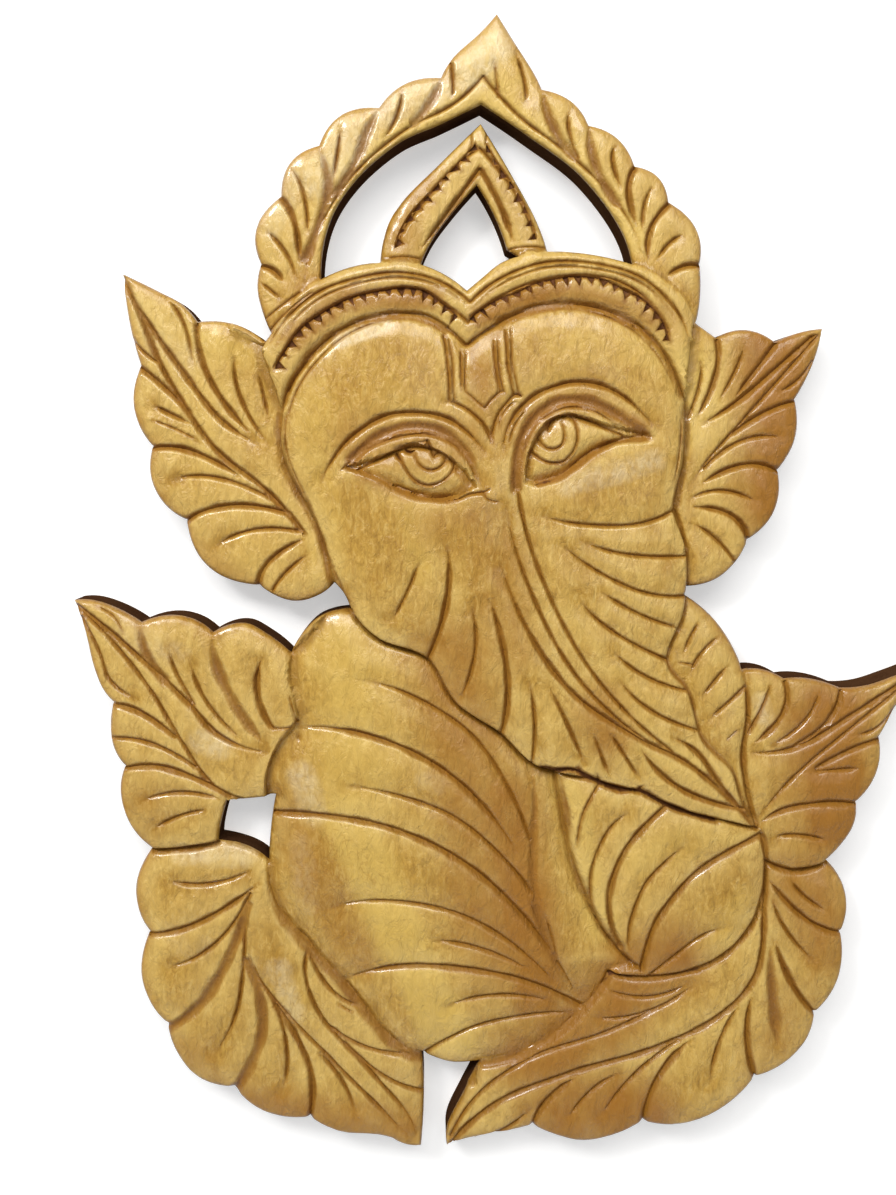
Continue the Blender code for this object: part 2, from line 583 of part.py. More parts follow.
class Cut:
    """One V-shaped cut: its floor line in squares and its half width at each point."""

    def __init__(self, width, points):
        self.width = width
        dense = smooth_through(points, CURVE_STEP) + (0.0, CUT_DROP)
        self.line = thinned(dense, CUT_TOLERANCE, LONGEST_CUT)
        self.halves = np.full(len(self.line), width / 2)

    def taper(self, held):
        """Narrows an end that runs out in the open; an end held by the rim or another cut stays wide."""
        share = np.concatenate(([0.0], np.cumsum(np.hypot(*np.diff(self.line, axis=0).T))))
        share /= share[-1]
        if not held[0]:
            self.halves *= np.clip(share / RUN_OUT_SHARE + TIP_SHARE, 0, 1)
        if not held[1]:
            self.halves *= np.clip((1 - share) / RUN_OUT_SHARE + TIP_SHARE, 0, 1)


class Carving:
    """All the cuts together, as one list of short straight segments."""

    def __init__(self, cuts):
        self.cuts = cuts
        self.starts = np.vstack([cut.line[:-1] for cut in cuts])
        self.ends = np.vstack([cut.line[1:] for cut in cuts])
        self.owner = np.concatenate([np.full(len(cut.line) - 1, number) for number, cut in enumerate(cuts)])
        for number, cut in enumerate(cuts):
            tips = np.array((cut.line[0], cut.line[-1]))
            held = np.minimum.reduce([rim_distances(tips, loop) for loop in LOOPS]) < HOLDING_GAP
            others = self.owner != number
            away = segment_distances(tips, self.starts[others], self.ends[others])[0].min(axis=1)
            cut.taper(held | (away < HOLDING_GAP))
        self.half_starts = np.concatenate([cut.halves[:-1] for cut in cuts])
        self.half_ends = np.concatenate([cut.halves[1:] for cut in cuts])
        self.widths = np.concatenate([np.full(len(cut.line) - 1, cut.width) for cut in cuts])
        self.depths = np.array([CUT_DEPTHS[width] for width in self.widths])

    def distances(self, places):
        """The distance of every place to every segment, and the cut's half width there."""
        away, share = segment_distances(places, self.starts, self.ends)
        return away, self.half_starts * (1 - share) + self.half_ends * share

    def dips(self, places):
        """How deep the cuts are at each place, and how far the nearest cut is."""
        away, half = self.distances(places)
        fullness = 2 * half / self.widths
        depth = (self.depths * fullness * np.clip(1 - away / half, 0, 1)).max(axis=1)
        return depth, (away + PILLOW_REACH * (1 - fullness)).min(axis=1)

    def clear(self, places, number):
        """Whether each place lies outside every cut but its own."""
        away, half = self.distances(places)
        free = (away > np.maximum(half, POINT_GAP) * LIP_CLEARANCE) | (self.owner == number)
        return free.all(axis=1)


def carved_cuts():
    """Every cut of the plaque, with the rows of tooth notches."""
    strokes = list(ALL_CUTS)
    for line in BAND_TOOTH_LINES:
        strokes += tooth_strokes(line, TOOTH_LENGTH)
    for line in FLAME_TOOTH_LINES:
        strokes += tooth_strokes(line, FLAME_TOOTH_LENGTH)
    return Carving([Cut(width, points) for width, *points in strokes])


def part_depths(places):
    """How far below the board's face each place lies before the cuts are made."""
    depth = np.full(len(places), EAR_DEPTH)
    for loop, (rim_depth, crown_depth), reach in RAISED_PARTS:
        closed = np.vstack([smooth_through(item, PART_STEP) if np.ndim(item) == 2 else item for item in loop])
        away = rim_distances(places, closed)
        within = inside(places, closed)
        rise = 1 - (1 - np.clip(away / reach, 0, 1)) ** 2
        level = rim_depth + (crown_depth - rim_depth) * rise
        blend = np.clip(0.5 + np.where(within, away, -away) / STEP_REACH, 0, 1)
        depth += (level - depth) * blend
    return depth


def relief_heights(places, carving):
    """The height of the carved face over the flat back, in metres."""
    batches = np.array_split(places, 1 + len(places) // BATCH)
    carved, near = (np.concatenate(rows) for rows in zip(*(carving.dips(batch) for batch in batches)))
    for loop in LOOPS:
        near = np.minimum(near, rim_distances(places, loop))
    pillow = PILLOW_DEPTH * (1 - np.clip(near / PILLOW_REACH, 0, 1)) ** 2
    return BOARD_THICKNESS - part_depths(places) - pillow - carved


class SheetNet:
    """The points and lines that the triangulated face has to pass through."""

    def __init__(self):
        self.points = []
        self.lines = []
        self.cells = {}

    def near(self, place, gap):
        """The closest point already in the net within the gap, or None."""
        column, row = int(place[0] // POINT_GAP), int(place[1] // POINT_GAP)
        ring = int(gap // POINT_GAP) + 1
        best = None
        for i in range(column - ring, column + ring + 1):
            for j in range(row - ring, row + ring + 1):
                for index in self.cells.get((i, j), ()):
                    away = math.hypot(*(self.points[index] - place))
                    if away < gap:
                        gap, best = away, index
        return best

    def add(self, place):
        """Adds a point and returns its index."""
        self.points.append(np.array(place, dtype=float))
        cell = (int(place[0] // POINT_GAP), int(place[1] // POINT_GAP))
        self.cells.setdefault(cell, []).append(len(self.points) - 1)
        return len(self.points) - 1

    def add_loop(self, loop):
        """Adds a closed loop."""
        first = len(self.points)
        for place in loop:
            self.add(place)
        count = len(loop)
        self.lines += [(first + i, first + (i + 1) % count) for i in range(count)]

    def add_line(self, places, allowed, gap):
        """Adds a line through the allowed places, joining points that are already there."""
        last = None
        for place, wanted in zip(places, allowed):
            index = self.near(place, gap)
            if index is None and wanted:
                index = self.add(place)
            if index is not None and last is not None and index != last:
                self.lines.append((last, index))
            last = index


def face_net(carving):
    """The net of the carved face: rim, openings, cuts with both their lips, and a field of points."""
    net = SheetNet()
    for loop in LOOPS:
        net.add_loop(loop)

    def clear_of_rim(places):
        on_board = inside(places, RIM)
        for loop in OPENINGS:
            on_board &= ~inside(places, loop)
        return on_board & (np.minimum.reduce([rim_distances(places, loop) for loop in LOOPS]) > POINT_GAP)

    ordered = sorted(enumerate(carving.cuts), key=lambda entry: -entry[1].width)
    for number, cut in ordered:
        net.add_line(cut.line, clear_of_rim(cut.line), POINT_GAP)
    for number, cut in ordered:
        along = np.gradient(cut.line, axis=0)
        across = np.stack((-along[:, 1], along[:, 0]), axis=1) / np.hypot(*along.T)[:, None]
        for side in (-1, 1):
            lip = cut.line + side * across * cut.halves[:, None]
            allowed = clear_of_rim(lip) & (cut.halves > NARROWEST_LIP) & carving.clear(lip, number)
            net.add_line(lip, allowed, LIP_GAP)
    row_height = FIELD_SPACING * math.sqrt(3) / 2
    low = RIM.min(axis=0)
    high = RIM.max(axis=0)
    rows = int((high[1] - low[1]) / row_height) + 1
    columns = int((high[0] - low[0]) / FIELD_SPACING) + 1
    field = np.array([(low[0] + (column + 0.5 * (row % 2)) * FIELD_SPACING, low[1] + row * row_height)
                      for row in range(rows) for column in range(columns)])
    for place in field[clear_of_rim(field)]:
        if net.near(place, FIELD_CLEARANCE) is None:
            net.add(place)
    return net


def sheet_triangles(points, lines):
    """The triangles of the sheet that lie on the board, with the points they use."""
    result = delaunay_2d_cdt([Vector(place) for place in points], lines, [], 0, JOINING_GAP, False)
    corners = np.array([tuple(place) for place in result[0]])
    triangles = np.array([tuple(face) for face in result[2]])
    middles = corners[triangles].mean(axis=1)
    wanted = inside(middles, RIM)
    for loop in OPENINGS:
        wanted &= ~inside(middles, loop)
    return corners, triangles[wanted]


def to_board(place, height):
    """A point of the sheet as a point of the board, at a height over the flat back."""
    return ((place[0] - HANGING_COLUMN) * SQUARE_WIDTH, -height, (HANGING_ROW - place[1]) * SQUARE_HEIGHT)


def plaque_mesh():
    """The whole plaque as one closed mesh: carved face, upright sides and flat back."""
    carving = carved_cuts()
    net = face_net(carving)
    corners, triangles = sheet_triangles(net.points, net.lines)
    heights = relief_heights(corners, carving)
    shape = bmesh.new()
    front = {}

    def front_corner(index):
        if index not in front:
            front[index] = shape.verts.new(to_board(corners[index], heights[index]))
        return front[index]

    for triangle in triangles:
        shape.faces.new([front_corner(index) for index in triangle])
    rim_edges = [edge for edge in shape.edges if len(edge.link_faces) == 1]
    rim_corners = {}
    sheet_of = {vertex: index for index, vertex in front.items()}
    for edge in rim_edges:
        for vertex in edge.verts:
            if vertex not in rim_corners:
                place = corners[sheet_of[vertex]]
                rim_corners[vertex] = (len(rim_corners), place, shape.verts.new(to_board(place, 0.0)))
    back_lines = [tuple(rim_corners[vertex][0] for vertex in edge.verts) for edge in rim_edges]
    for edge in rim_edges:
        first, second = edge.verts
        shape.faces.new((first, second, rim_corners[second][2], rim_corners[first][2]))
    back_points = [entry[1] for entry in rim_corners.values()]
    back_corners = [entry[2] for entry in rim_corners.values()]
    flat, back_triangles = sheet_triangles(back_points, back_lines)
    order = {tuple(np.round(place, 3)): index for index, place in enumerate(back_points)}
    for triangle in back_triangles:
        shape.faces.new([back_corners[order[tuple(np.round(flat[index], 3))]] for index in triangle])
    bmesh.ops.recalc_face_normals(shape, faces=shape.faces)
    bmesh.ops.triangulate(shape, faces=shape.faces)
    mesh = bpy.data.meshes.new("ganesha_plaque")
    shape.to_mesh(mesh)
    shape.free()
    return mesh


def varnished_wood():
    """Honey-brown hardwood under gloss varnish."""
    material = bpy.data.materials.new("varnished_wood")
    material.use_nodes = True
    shader = material.node_tree.nodes["Principled BSDF"]
    shader.inputs["Base Color"].default_value = (0.50, 0.31, 0.085, 1.0)
    shader.inputs["Roughness"].default_value = 0.32
    shader.inputs["Metallic"].default_value = 0.0
    return material


plaque = bpy.data.objects.new("ganesha_plaque", plaque_mesh())
bpy.context.scene.collection.objects.link(plaque)
plaque.data.materials.append(varnished_wood())
plaque.data.shade_smooth()
plaque.data.set_sharp_from_angle(angle=math.radians(35))
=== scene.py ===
"""Looks of the carved wooden wall plaque, laid on the fixed solid of its one sawn plank.

The carving is drawn on a squared sheet, column to the right and row downwards.  A square takes its
size from the solid's own height, so the carving always lies where the solid is.
"""
import math

import bmesh
import bpy
import numpy as np
from mathutils import Matrix, Vector, kdtree
from mathutils.geometry import delaunay_2d_cdt


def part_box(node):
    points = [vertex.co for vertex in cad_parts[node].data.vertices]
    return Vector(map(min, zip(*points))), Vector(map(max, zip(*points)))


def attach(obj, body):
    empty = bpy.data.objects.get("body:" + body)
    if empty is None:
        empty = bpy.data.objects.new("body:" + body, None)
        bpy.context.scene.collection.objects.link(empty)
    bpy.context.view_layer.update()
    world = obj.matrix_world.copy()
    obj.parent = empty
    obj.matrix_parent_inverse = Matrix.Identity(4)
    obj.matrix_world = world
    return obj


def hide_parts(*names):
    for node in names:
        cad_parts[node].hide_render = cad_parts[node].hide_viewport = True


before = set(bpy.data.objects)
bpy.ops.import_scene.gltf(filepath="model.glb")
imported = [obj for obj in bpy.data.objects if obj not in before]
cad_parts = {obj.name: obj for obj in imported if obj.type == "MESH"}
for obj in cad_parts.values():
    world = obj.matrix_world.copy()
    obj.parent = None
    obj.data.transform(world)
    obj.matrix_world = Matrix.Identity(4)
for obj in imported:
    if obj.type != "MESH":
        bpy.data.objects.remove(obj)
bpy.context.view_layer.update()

# The plank
# The real plaque is one hardwood board about 20 mm thick.  A scroll saw follows the figure's outline,
# a row of leaf lobes, and three openings are sawn right through it.
BOARD = "ganesha_plaque"
TOP_ROW = 13.0
BOTTOM_ROW = 1152.0
HANGING_COLUMN = 484.0
HANGING_ROW = 330.0
RIM_STEP = 2.6

board_low, board_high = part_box(BOARD)
SQUARE = (board_high.z - board_low.z) / (BOTTOM_ROW - TOP_ROW)

CROWN_TIP = (497, 13)
CROWN_LEFT_LOBES = (
    ((480, 32), (453, 57), (441, 77)),
    ((405, 83), (379, 107)),
    ((340, 115), (319, 145)),
    ((290, 162), (281, 196)),
    ((256, 228), (261, 264)),
    ((257, 288), (263, 314), (271, 333)),
    ((265, 341),),
)
LEFT_EAR_LOBES = (
    ((232, 323), (196, 321)),
    ((180, 303), (158, 291), (121, 273)),
    ((123, 295), (129, 330), (139, 365)),
    ((131, 398), (137, 425), (151, 446)),
    ((149, 478), (163, 505), (185, 520)),
    ((206, 567), (258, 586)),
    ((292, 602), (318, 596), (334, 583)),
    ((343, 592), (351, 610)),
)
LEFT_HAND_LOBES = (
    ((320, 617), (304, 631), (290, 654)),
    ((268, 636), (243, 624), (212, 633)),
    ((192, 620), (168, 616), (140, 623)),
    ((115, 609), (90, 601), (72, 601)),
    ((82, 628), (92, 668), (101, 690), (112, 703)),
    ((109, 730), (113, 751), (124, 767)),
    ((119, 793), (128, 826), (150, 851)),
)
LEFT_LEG_LOBES = (
    ((134, 885), (137, 914), (148, 934)),
    ((139, 976), (149, 1007), (166, 1027)),
    ((173, 1052), (195, 1080), (233, 1091)),
    ((256, 1112), (283, 1121), (309, 1121)),
    ((340, 1136), (375, 1139), (392, 1143)),
    ((405, 1150), (421, 1152)),
    ((424, 1095), (422, 1059)),
)
BELLY_EDGE = (
    ((445, 1066), (480, 1068)),
)
RIGHT_LEG_LOBES = (
    ((462, 1101), (447, 1134), (447, 1152)),
    ((470, 1143), (500, 1137), (533, 1129)),
    ((556, 1139), (583, 1145), (615, 1139), (644, 1125)),
    ((675, 1129), (705, 1122), (735, 1104), (757, 1080)),
    ((785, 1068), (809, 1043), (817, 1016)),
    ((838, 989), (845, 960), (843, 935)),
    ((850, 908), (845, 884), (829, 863)),
)
RIGHT_HAND_LOBES = (
    ((848, 841), (857, 823), (858, 803)),
    ((875, 782), (882, 760), (881, 738)),
    ((889, 724), (899, 706), (917, 670)),
    ((896, 678), (868, 687), (842, 689)),
    ((812, 680), (786, 680)),
    ((765, 671), (744, 671)),
    ((731, 641), (711, 615), (685, 595)),
)
RIGHT_EAR_LOBES = (
    ((688, 587),),
    ((718, 580), (739, 561), (750, 540)),
    ((772, 520), (781, 497), (780, 470)),
    ((796, 444), (800, 421), (797, 399)),
    ((806, 384), (818, 357), (825, 328)),
    ((805, 331), (777, 341)),
    ((748, 329), (718, 337)),
    ((697, 322),),
)
CROWN_RIGHT_LOBES = (
    ((701, 292), (700, 264)),
    ((697, 229), (669, 202)),
    ((659, 177), (635, 166)),
    ((618, 138), (589, 125)),
    ((572, 101), (542, 89)),
    ((535, 74), (515, 42), (497, 13)),
)
OUTLINE = (CROWN_TIP, CROWN_LEFT_LOBES + LEFT_EAR_LOBES + LEFT_HAND_LOBES + LEFT_LEG_LOBES + BELLY_EDGE
           + RIGHT_LEG_LOBES + RIGHT_HAND_LOBES + RIGHT_EAR_LOBES + CROWN_RIGHT_LOBES)

CRESCENT_OPENING = ((481, 104), (
    ((440, 124), (400, 142), (355, 181), (330, 222), (321, 279)),
    ((350, 267), (380, 262)),
    ((386, 229), (400, 203), (440, 162), (481, 122)),
    ((510, 170), (537, 220), (548, 251)),
    ((590, 254), (632, 264)),
    ((620, 228), (580, 175), (530, 137), (481, 104)),
))
HEART_OPENING = ((477, 184), (
    ((495, 216), (507, 249)),
    ((518, 256),),
    ((500, 263), (483, 277), (467, 290)),
    ((445, 274), (421, 264)),
    ((432, 240), (450, 215), (477, 184)),
))
HAND_OPENING = ((226, 802), (
    ((274, 798),),
    ((269, 830), (267, 864)),
    ((252, 853), (217, 843)),
    ((219, 828), (226, 802)),
))


def smooth_through(points, step):
    """A smooth curve through the points, as dense points about a step apart."""
    points = np.array(points, dtype=float)
    if len(points) == 2:
        count = max(2, int(np.hypot(*(points[1] - points[0])) / step) + 1)
        return points[0] + np.linspace(0, 1, count)[:, None] * (points[1] - points[0])
    gaps = np.sqrt(np.hypot(*np.diff(points, axis=0).T))
    slopes = np.diff(points, axis=0) / gaps[:, None]
    tangents = np.empty_like(points)
    share = (gaps[:-1] / (gaps[:-1] + gaps[1:]))[:, None]
    tangents[1:-1] = slopes[:-1] * (1 - share) + slopes[1:] * share
    tangents[0] = 2 * slopes[0] - tangents[1]
    tangents[-1] = 2 * slopes[-1] - tangents[-2]
    dense = [points[:1]]
    for index, gap in enumerate(gaps):
        count = max(2, int(gap * gap / step) + 1)
        t = np.linspace(0, 1, count + 1)[1:, None]
        rise = 3 * t**2 - 2 * t**3
        dense.append((1 - rise) * points[index] + rise * points[index + 1]
                     + (t**3 - 2 * t**2 + t) * gap * tangents[index]
                     + (t**3 - t**2) * gap * tangents[index + 1])
    return np.vstack(dense)


def sawn_loop(start, bows):
    """A closed loop of bows, each from the last corner through its inner points to its own corner."""
    stretches = []
    for bow in bows:
        stretches.append(smooth_through((start,) + tuple(bow), RIM_STEP)[:-1])
        start = bow[-1]
    return np.vstack(stretches)


def on_board(places, heights):
    """Points of the sheet, in squares, as points in metres with their height over the flat back."""
    across = (places[:, 0] - HANGING_COLUMN) * SQUARE
    up = (HANGING_ROW - places[:, 1]) * SQUARE
    return np.column_stack((across, up, heights))


RIM = sawn_loop(*OUTLINE)
OPENINGS = [sawn_loop(*loop) for loop in (CRESCENT_OPENING, HEART_OPENING, HAND_OPENING)]
LOOPS = [RIM] + OPENINGS

# The levels of the relief
# After sawing, the carver lowers the ears and leaves and leaves the belly, band and head standing
# proud.  Each part is a level of its own, highest in its middle and lower at its carved rim.
BOARD_THICKNESS = 0.020
EAR_DEPTH = 0.0055
ARCH_DEPTH = (0.0040, 0.0032)
FLAME_DEPTH = (0.0052, 0.0045)
HAND_DEPTH = (0.0060, 0.0045)
LEG_DEPTH = (0.0075, 0.0055)
SHOULDER_DEPTH = (0.0055, 0.0045)
BODY_DEPTH = (0.0080, 0.0030)
ARM_DEPTH = (0.0052, 0.0036)
BAND_DEPTH = (0.0024, 0.0014)
HEAD_DEPTH = (0.0028, 0.0002)
EYE_DEPTH = (0.0030, 0.0010)
MOULDING_REACH = 12.0
BAND_REACH = 14.0
EYE_REACH = 20.0
SHOULDER_REACH = 30.0
ARM_REACH = 60.0
LEAF_REACH = 70.0
HEAD_REACH = 80.0
BODY_REACH = 120.0
STEP_REACH = 2.6
PART_STEP = 6.0

BAND_TOP_LEFT = ((262, 350), (277, 325), (305, 290), (321, 279), (350, 267), (380, 262), (421, 264),
                 (467, 290))
BAND_TOP_RIGHT = ((467, 290), (500, 263), (518, 256), (548, 251), (590, 254), (632, 264), (665, 282),
                  (688, 308), (690, 345))
FOREHEAD_LEFT = ((283, 410), (295, 378), (320, 347), (350, 325), (390, 313), (425, 315), (450, 330),
                 (466, 345))
FOREHEAD_RIGHT = ((466, 345), (500, 322), (540, 305), (580, 304), (625, 318), (660, 347), (684, 400))
HEAD_RIGHT = ((684, 400), (683, 460), (673, 510), (687, 555), (684, 610), (667, 660), (688, 690), (702, 737),
              (731, 768), (742, 800), (758, 828))
HEAD_LOWER = ((758, 828), (720, 818), (680, 808), (640, 791), (590, 778), (535, 765), (500, 733), (455, 702),
              (427, 658), (378, 638), (351, 610))
HEAD_LEFT = ((334, 583), (320, 530), (287, 465), (281, 440), (283, 410))
BODY_LEFT = ((290, 654), (289, 680), (296, 722), (281, 742), (268, 768), (266, 798))
BODY_LOWER_LEFT = ((266, 866), (275, 905), (305, 943), (350, 993), (390, 1041), (423, 1060))
BODY_LOWER_RIGHT = ((480, 1067), (540, 1048), (590, 1005), (611, 976))
BODY_RIGHT = ((638, 968), (605, 932), (574, 862), (567, 830), (556, 770))
ARM_LOWER = ((762, 833), (767, 870), (755, 920), (720, 958), (665, 976), (610, 974))
HAND_ROOT = ((745, 672), (749, 715), (744, 755), (758, 828))
ARCH_PART = ((230, 5), (730, 5), (730, 300), (697, 322), (690, 330), (467, 300), (262, 345), (230, 330))
FLAME_PART = ((372, 270), (376, 250), (400, 198), (481, 112), (540, 200), (556, 252), (518, 262), (467, 300))
LEFT_HAND_PART = ((50, 585), (150, 592), (300, 612), (300, 850), (217, 844), (150, 852), (50, 852))
LEFT_LEG_PART = ((50, 852), (150, 852), (217, 844), (300, 850), (430, 1050), (435, 1200), (50, 1200))
RIGHT_LEG_PART = ((435, 1200), (440, 1055), (600, 950), (768, 862), (829, 866), (930, 866), (930, 1200))
SHOULDER_PART = ((660, 560), (684, 590), (752, 660), HAND_ROOT, (640, 700))
RIGHT_HAND_PART = ((750, 655), (935, 655), (935, 866), (829, 866), (795, 871), (767, 862), HAND_ROOT[::-1])
BODY_PART = ((335, 604), BODY_LEFT, (267, 830), BODY_LOWER_LEFT, (430, 1090), (475, 1090),
             BODY_LOWER_RIGHT, BODY_RIGHT, (440, 620))
ARM_PART = (ARM_LOWER, BODY_RIGHT, (600, 740), (740, 790))
BAND_PART = (BAND_TOP_LEFT, BAND_TOP_RIGHT, FOREHEAD_RIGHT[::-1], FOREHEAD_LEFT[::-1])
HEAD_PART = (FOREHEAD_LEFT, FOREHEAD_RIGHT, HEAD_RIGHT, HEAD_LOWER, HEAD_LEFT)
LEFT_EYE_PART = (((346, 467), (385, 455), (415, 444), (452, 460), (474, 486)),
                 ((474, 486), (445, 499), (405, 492), (375, 477), (346, 467)))
RIGHT_EYE_PART = (((525, 482), (532, 446), (560, 416), (610, 426), (650, 436)),
                  ((650, 436), (600, 448), (555, 477), (525, 482)))
RAISED_PARTS = (
    (ARCH_PART, ARCH_DEPTH, MOULDING_REACH),
    (FLAME_PART, FLAME_DEPTH, MOULDING_REACH),
    (LEFT_HAND_PART, HAND_DEPTH, LEAF_REACH),
    (LEFT_LEG_PART, LEG_DEPTH, LEAF_REACH),
    (RIGHT_LEG_PART, LEG_DEPTH, LEAF_REACH),
    (SHOULDER_PART, SHOULDER_DEPTH, SHOULDER_REACH),
    (RIGHT_HAND_PART, HAND_DEPTH, LEAF_REACH),
    (BODY_PART, BODY_DEPTH, BODY_REACH),
    (ARM_PART, ARM_DEPTH, ARM_REACH),
    (BAND_PART, BAND_DEPTH, BAND_REACH),
    (HEAD_PART, HEAD_DEPTH, HEAD_REACH),
    (LEFT_EYE_PART, EYE_DEPTH, EYE_REACH),
    (RIGHT_EYE_PART, EYE_DEPTH, EYE_REACH),
)


def segment_distances(places, starts, ends):
    """The distance of every place to every segment."""
    along = ends - starts
    lengths = np.maximum((along ** 2).sum(axis=1), 1e-9)
    across = places[:, None] - starts
    share = np.clip((across * along).sum(axis=2) / lengths, 0, 1)
    return np.hypot(*np.moveaxis(across - share[:, :, None] * along, 2, 0))


def loop_distances(places, loop, batch=4000):
    """The distance of every place to the closed loop."""
    ends = np.roll(loop, -1, axis=0)
    parts = np.array_split(places, 1 + len(places) // batch)
    return np.concatenate([segment_distances(part, loop, ends).min(axis=1) for part in parts])


def inside(places, loop):
    """Whether each place lies in the closed loop."""
    result = np.zeros(len(places), dtype=bool)
    for start, end in zip(loop, np.roll(loop, -1, axis=0)):
        spans = (start[1] > places[:, 1]) != (end[1] > places[:, 1])
        rise = end[1] - start[1]
        crossing = start[0] + (places[:, 1] - start[1]) * (end[0] - start[0]) / (rise if rise else 1.0)
        result ^= spans & (places[:, 0] < crossing)
    return result


def part_loop(items):
    """A raised part's closed loop: its carved edges are smooth, and it runs straight between them."""
    return np.vstack([smooth_through(item, PART_STEP) if np.ndim(item) == 2 else item for item in items])


def part_depths(places):
    """How far below the board's face each place lies before the strokes are cut."""
    depth = np.full(len(places), EAR_DEPTH)
    for items, (rim_depth, crown_depth), reach in RAISED_PARTS:
        loop = part_loop(items)
        low, high = loop.min(axis=0) - STEP_REACH, loop.max(axis=0) + STEP_REACH
        near = np.flatnonzero(((places > low) & (places < high)).all(axis=1))
        away = loop_distances(places[near], loop)
        within = inside(places[near], loop)
        rise = 1 - (1 - np.clip(away / reach, 0, 1)) ** 2
        level = rim_depth + (crown_depth - rim_depth) * rise
        blend = np.clip(0.5 + np.where(within, away, -away) / STEP_REACH, 0, 1)
        depth[near] += (level - depth[near]) * blend
    return depth


# The strokes
# Every vein, fold and lid is one push of a V-shaped gouge, and the broad hollows between lobes are
# cut with a round gouge.  A stroke is drawn by its upper lip and runs out to nothing at a free end.
DROP_SHARE = 0.28
FINE = 3.4
LID = 4.6
SEAM = 5.2
CLEFT = 7.4
VEIN = 6.0
BOLD = 8.5
SOFT = 10.0
GOUGE = 13.0
STROKE_STEP = 3.2
HOLDING_GAP = 3.5
RUN_OUT_SHARE = 0.26
TIP_SHARE = 0.14
WAVERING = 0.16

# The pointed arch: a moulding runs along the opening, with leaf lobes outside it
CROWN_CUTS = (
    (VEIN, (483, 75), (455, 102), (405, 129), (355, 172), (318, 230), (304, 283)),
    (VEIN, (483, 75), (520, 116), (565, 150), (600, 182), (628, 218), (640, 250)),
    (GOUGE, (441, 77), (432, 97), (412, 122)),
    (VEIN, (451, 62), (453, 82), (452, 98)),
    (VEIN, (402, 88), (398, 112), (384, 138)),
    (GOUGE, (379, 107), (367, 130), (360, 150), (335, 192)),
    (VEIN, (341, 125), (338, 150), (333, 180)),
    (GOUGE, (319, 145), (329, 185), (324, 205), (305, 260)),
    (VEIN, (291, 167), (303, 190), (308, 233)),
    (BOLD, (281, 196), (293, 215), (300, 262)),
    (VEIN, (266, 229), (287, 253), (296, 278)),
    (BOLD, (261, 264), (273, 268), (284, 280)),
    (VEIN, (261, 281), (281, 297)),
    (VEIN, (515, 52), (524, 80), (526, 103)),
    (GOUGE, (542, 89), (553, 125), (575, 155)),
    (VEIN, (569, 110), (568, 125), (578, 157)),
    (GOUGE, (589, 125), (590, 145), (597, 168), (618, 203)),
    (VEIN, (616, 143), (612, 155), (620, 185)),
    (BOLD, (635, 166), (628, 185), (637, 225)),
    (VEIN, (653, 185), (645, 200), (642, 230)),
    (BOLD, (669, 202), (650, 228), (648, 258)),
    (VEIN, (682, 234), (670, 241), (657, 258)),
    (BOLD, (700, 264), (685, 264), (666, 274)),
    (FINE, (494, 60), (496, 78), (498, 97)),
    (FINE, (262, 322), (285, 303), (310, 286)),
    (FINE, (270, 330), (292, 308), (314, 292)),
)

# The flame inside the arch, with a rib along its own opening
FLAME_CUTS = (
    (BOLD, (480, 166), (450, 207), (420, 248)),
    (BOLD, (480, 166), (502, 207), (513, 240)),
    (VEIN, (399, 243), (405, 226), (427, 197), (455, 165), (480, 146)),
    (VEIN, (480, 146), (505, 176), (522, 202), (535, 238)),
    (FINE, (471, 131), (472, 141), (470, 150)),
    (FINE, (488, 131), (486, 141), (488, 150)),
    (FINE, (385, 258), (403, 256), (420, 258)),
    (FINE, (507, 249), (525, 246), (545, 247)),
)

# The band over the brow
BAND_CUTS = (
    (VEIN, (266, 350), (290, 315), (320, 291), (360, 277), (400, 272), (440, 281), (470, 302)),
    (VEIN, (275, 368), (305, 325), (340, 302), (380, 290), (420, 292), (450, 307), (468, 322)),
    (VEIN, (470, 302), (500, 278), (545, 262), (600, 264), (645, 280), (682, 322), (687, 360)),
    (VEIN, (468, 322), (500, 296), (545, 279), (605, 277), (643, 296), (668, 328)),
    (VEIN,) + FOREHEAD_LEFT,
    (VEIN,) + FOREHEAD_RIGHT,
    (SOFT, (284, 402), (298, 368), (322, 340), (352, 322), (391, 313), (424, 315), (448, 329)),
    (SOFT, (496, 322), (540, 305), (581, 303), (624, 317), (658, 346), (682, 396)),
    (FINE, (272, 356), (294, 322), (322, 298), (362, 283), (400, 278), (438, 286), (468, 307)),
    (FINE, (472, 308), (502, 284), (547, 268), (598, 270), (642, 285), (676, 322)),
    (FINE, (290, 412), (302, 382), (326, 352), (354, 331), (391, 319), (423, 321), (446, 335)),
    (FINE, (500, 329), (541, 311), (580, 310), (622, 324), (654, 352), (677, 400)),
)

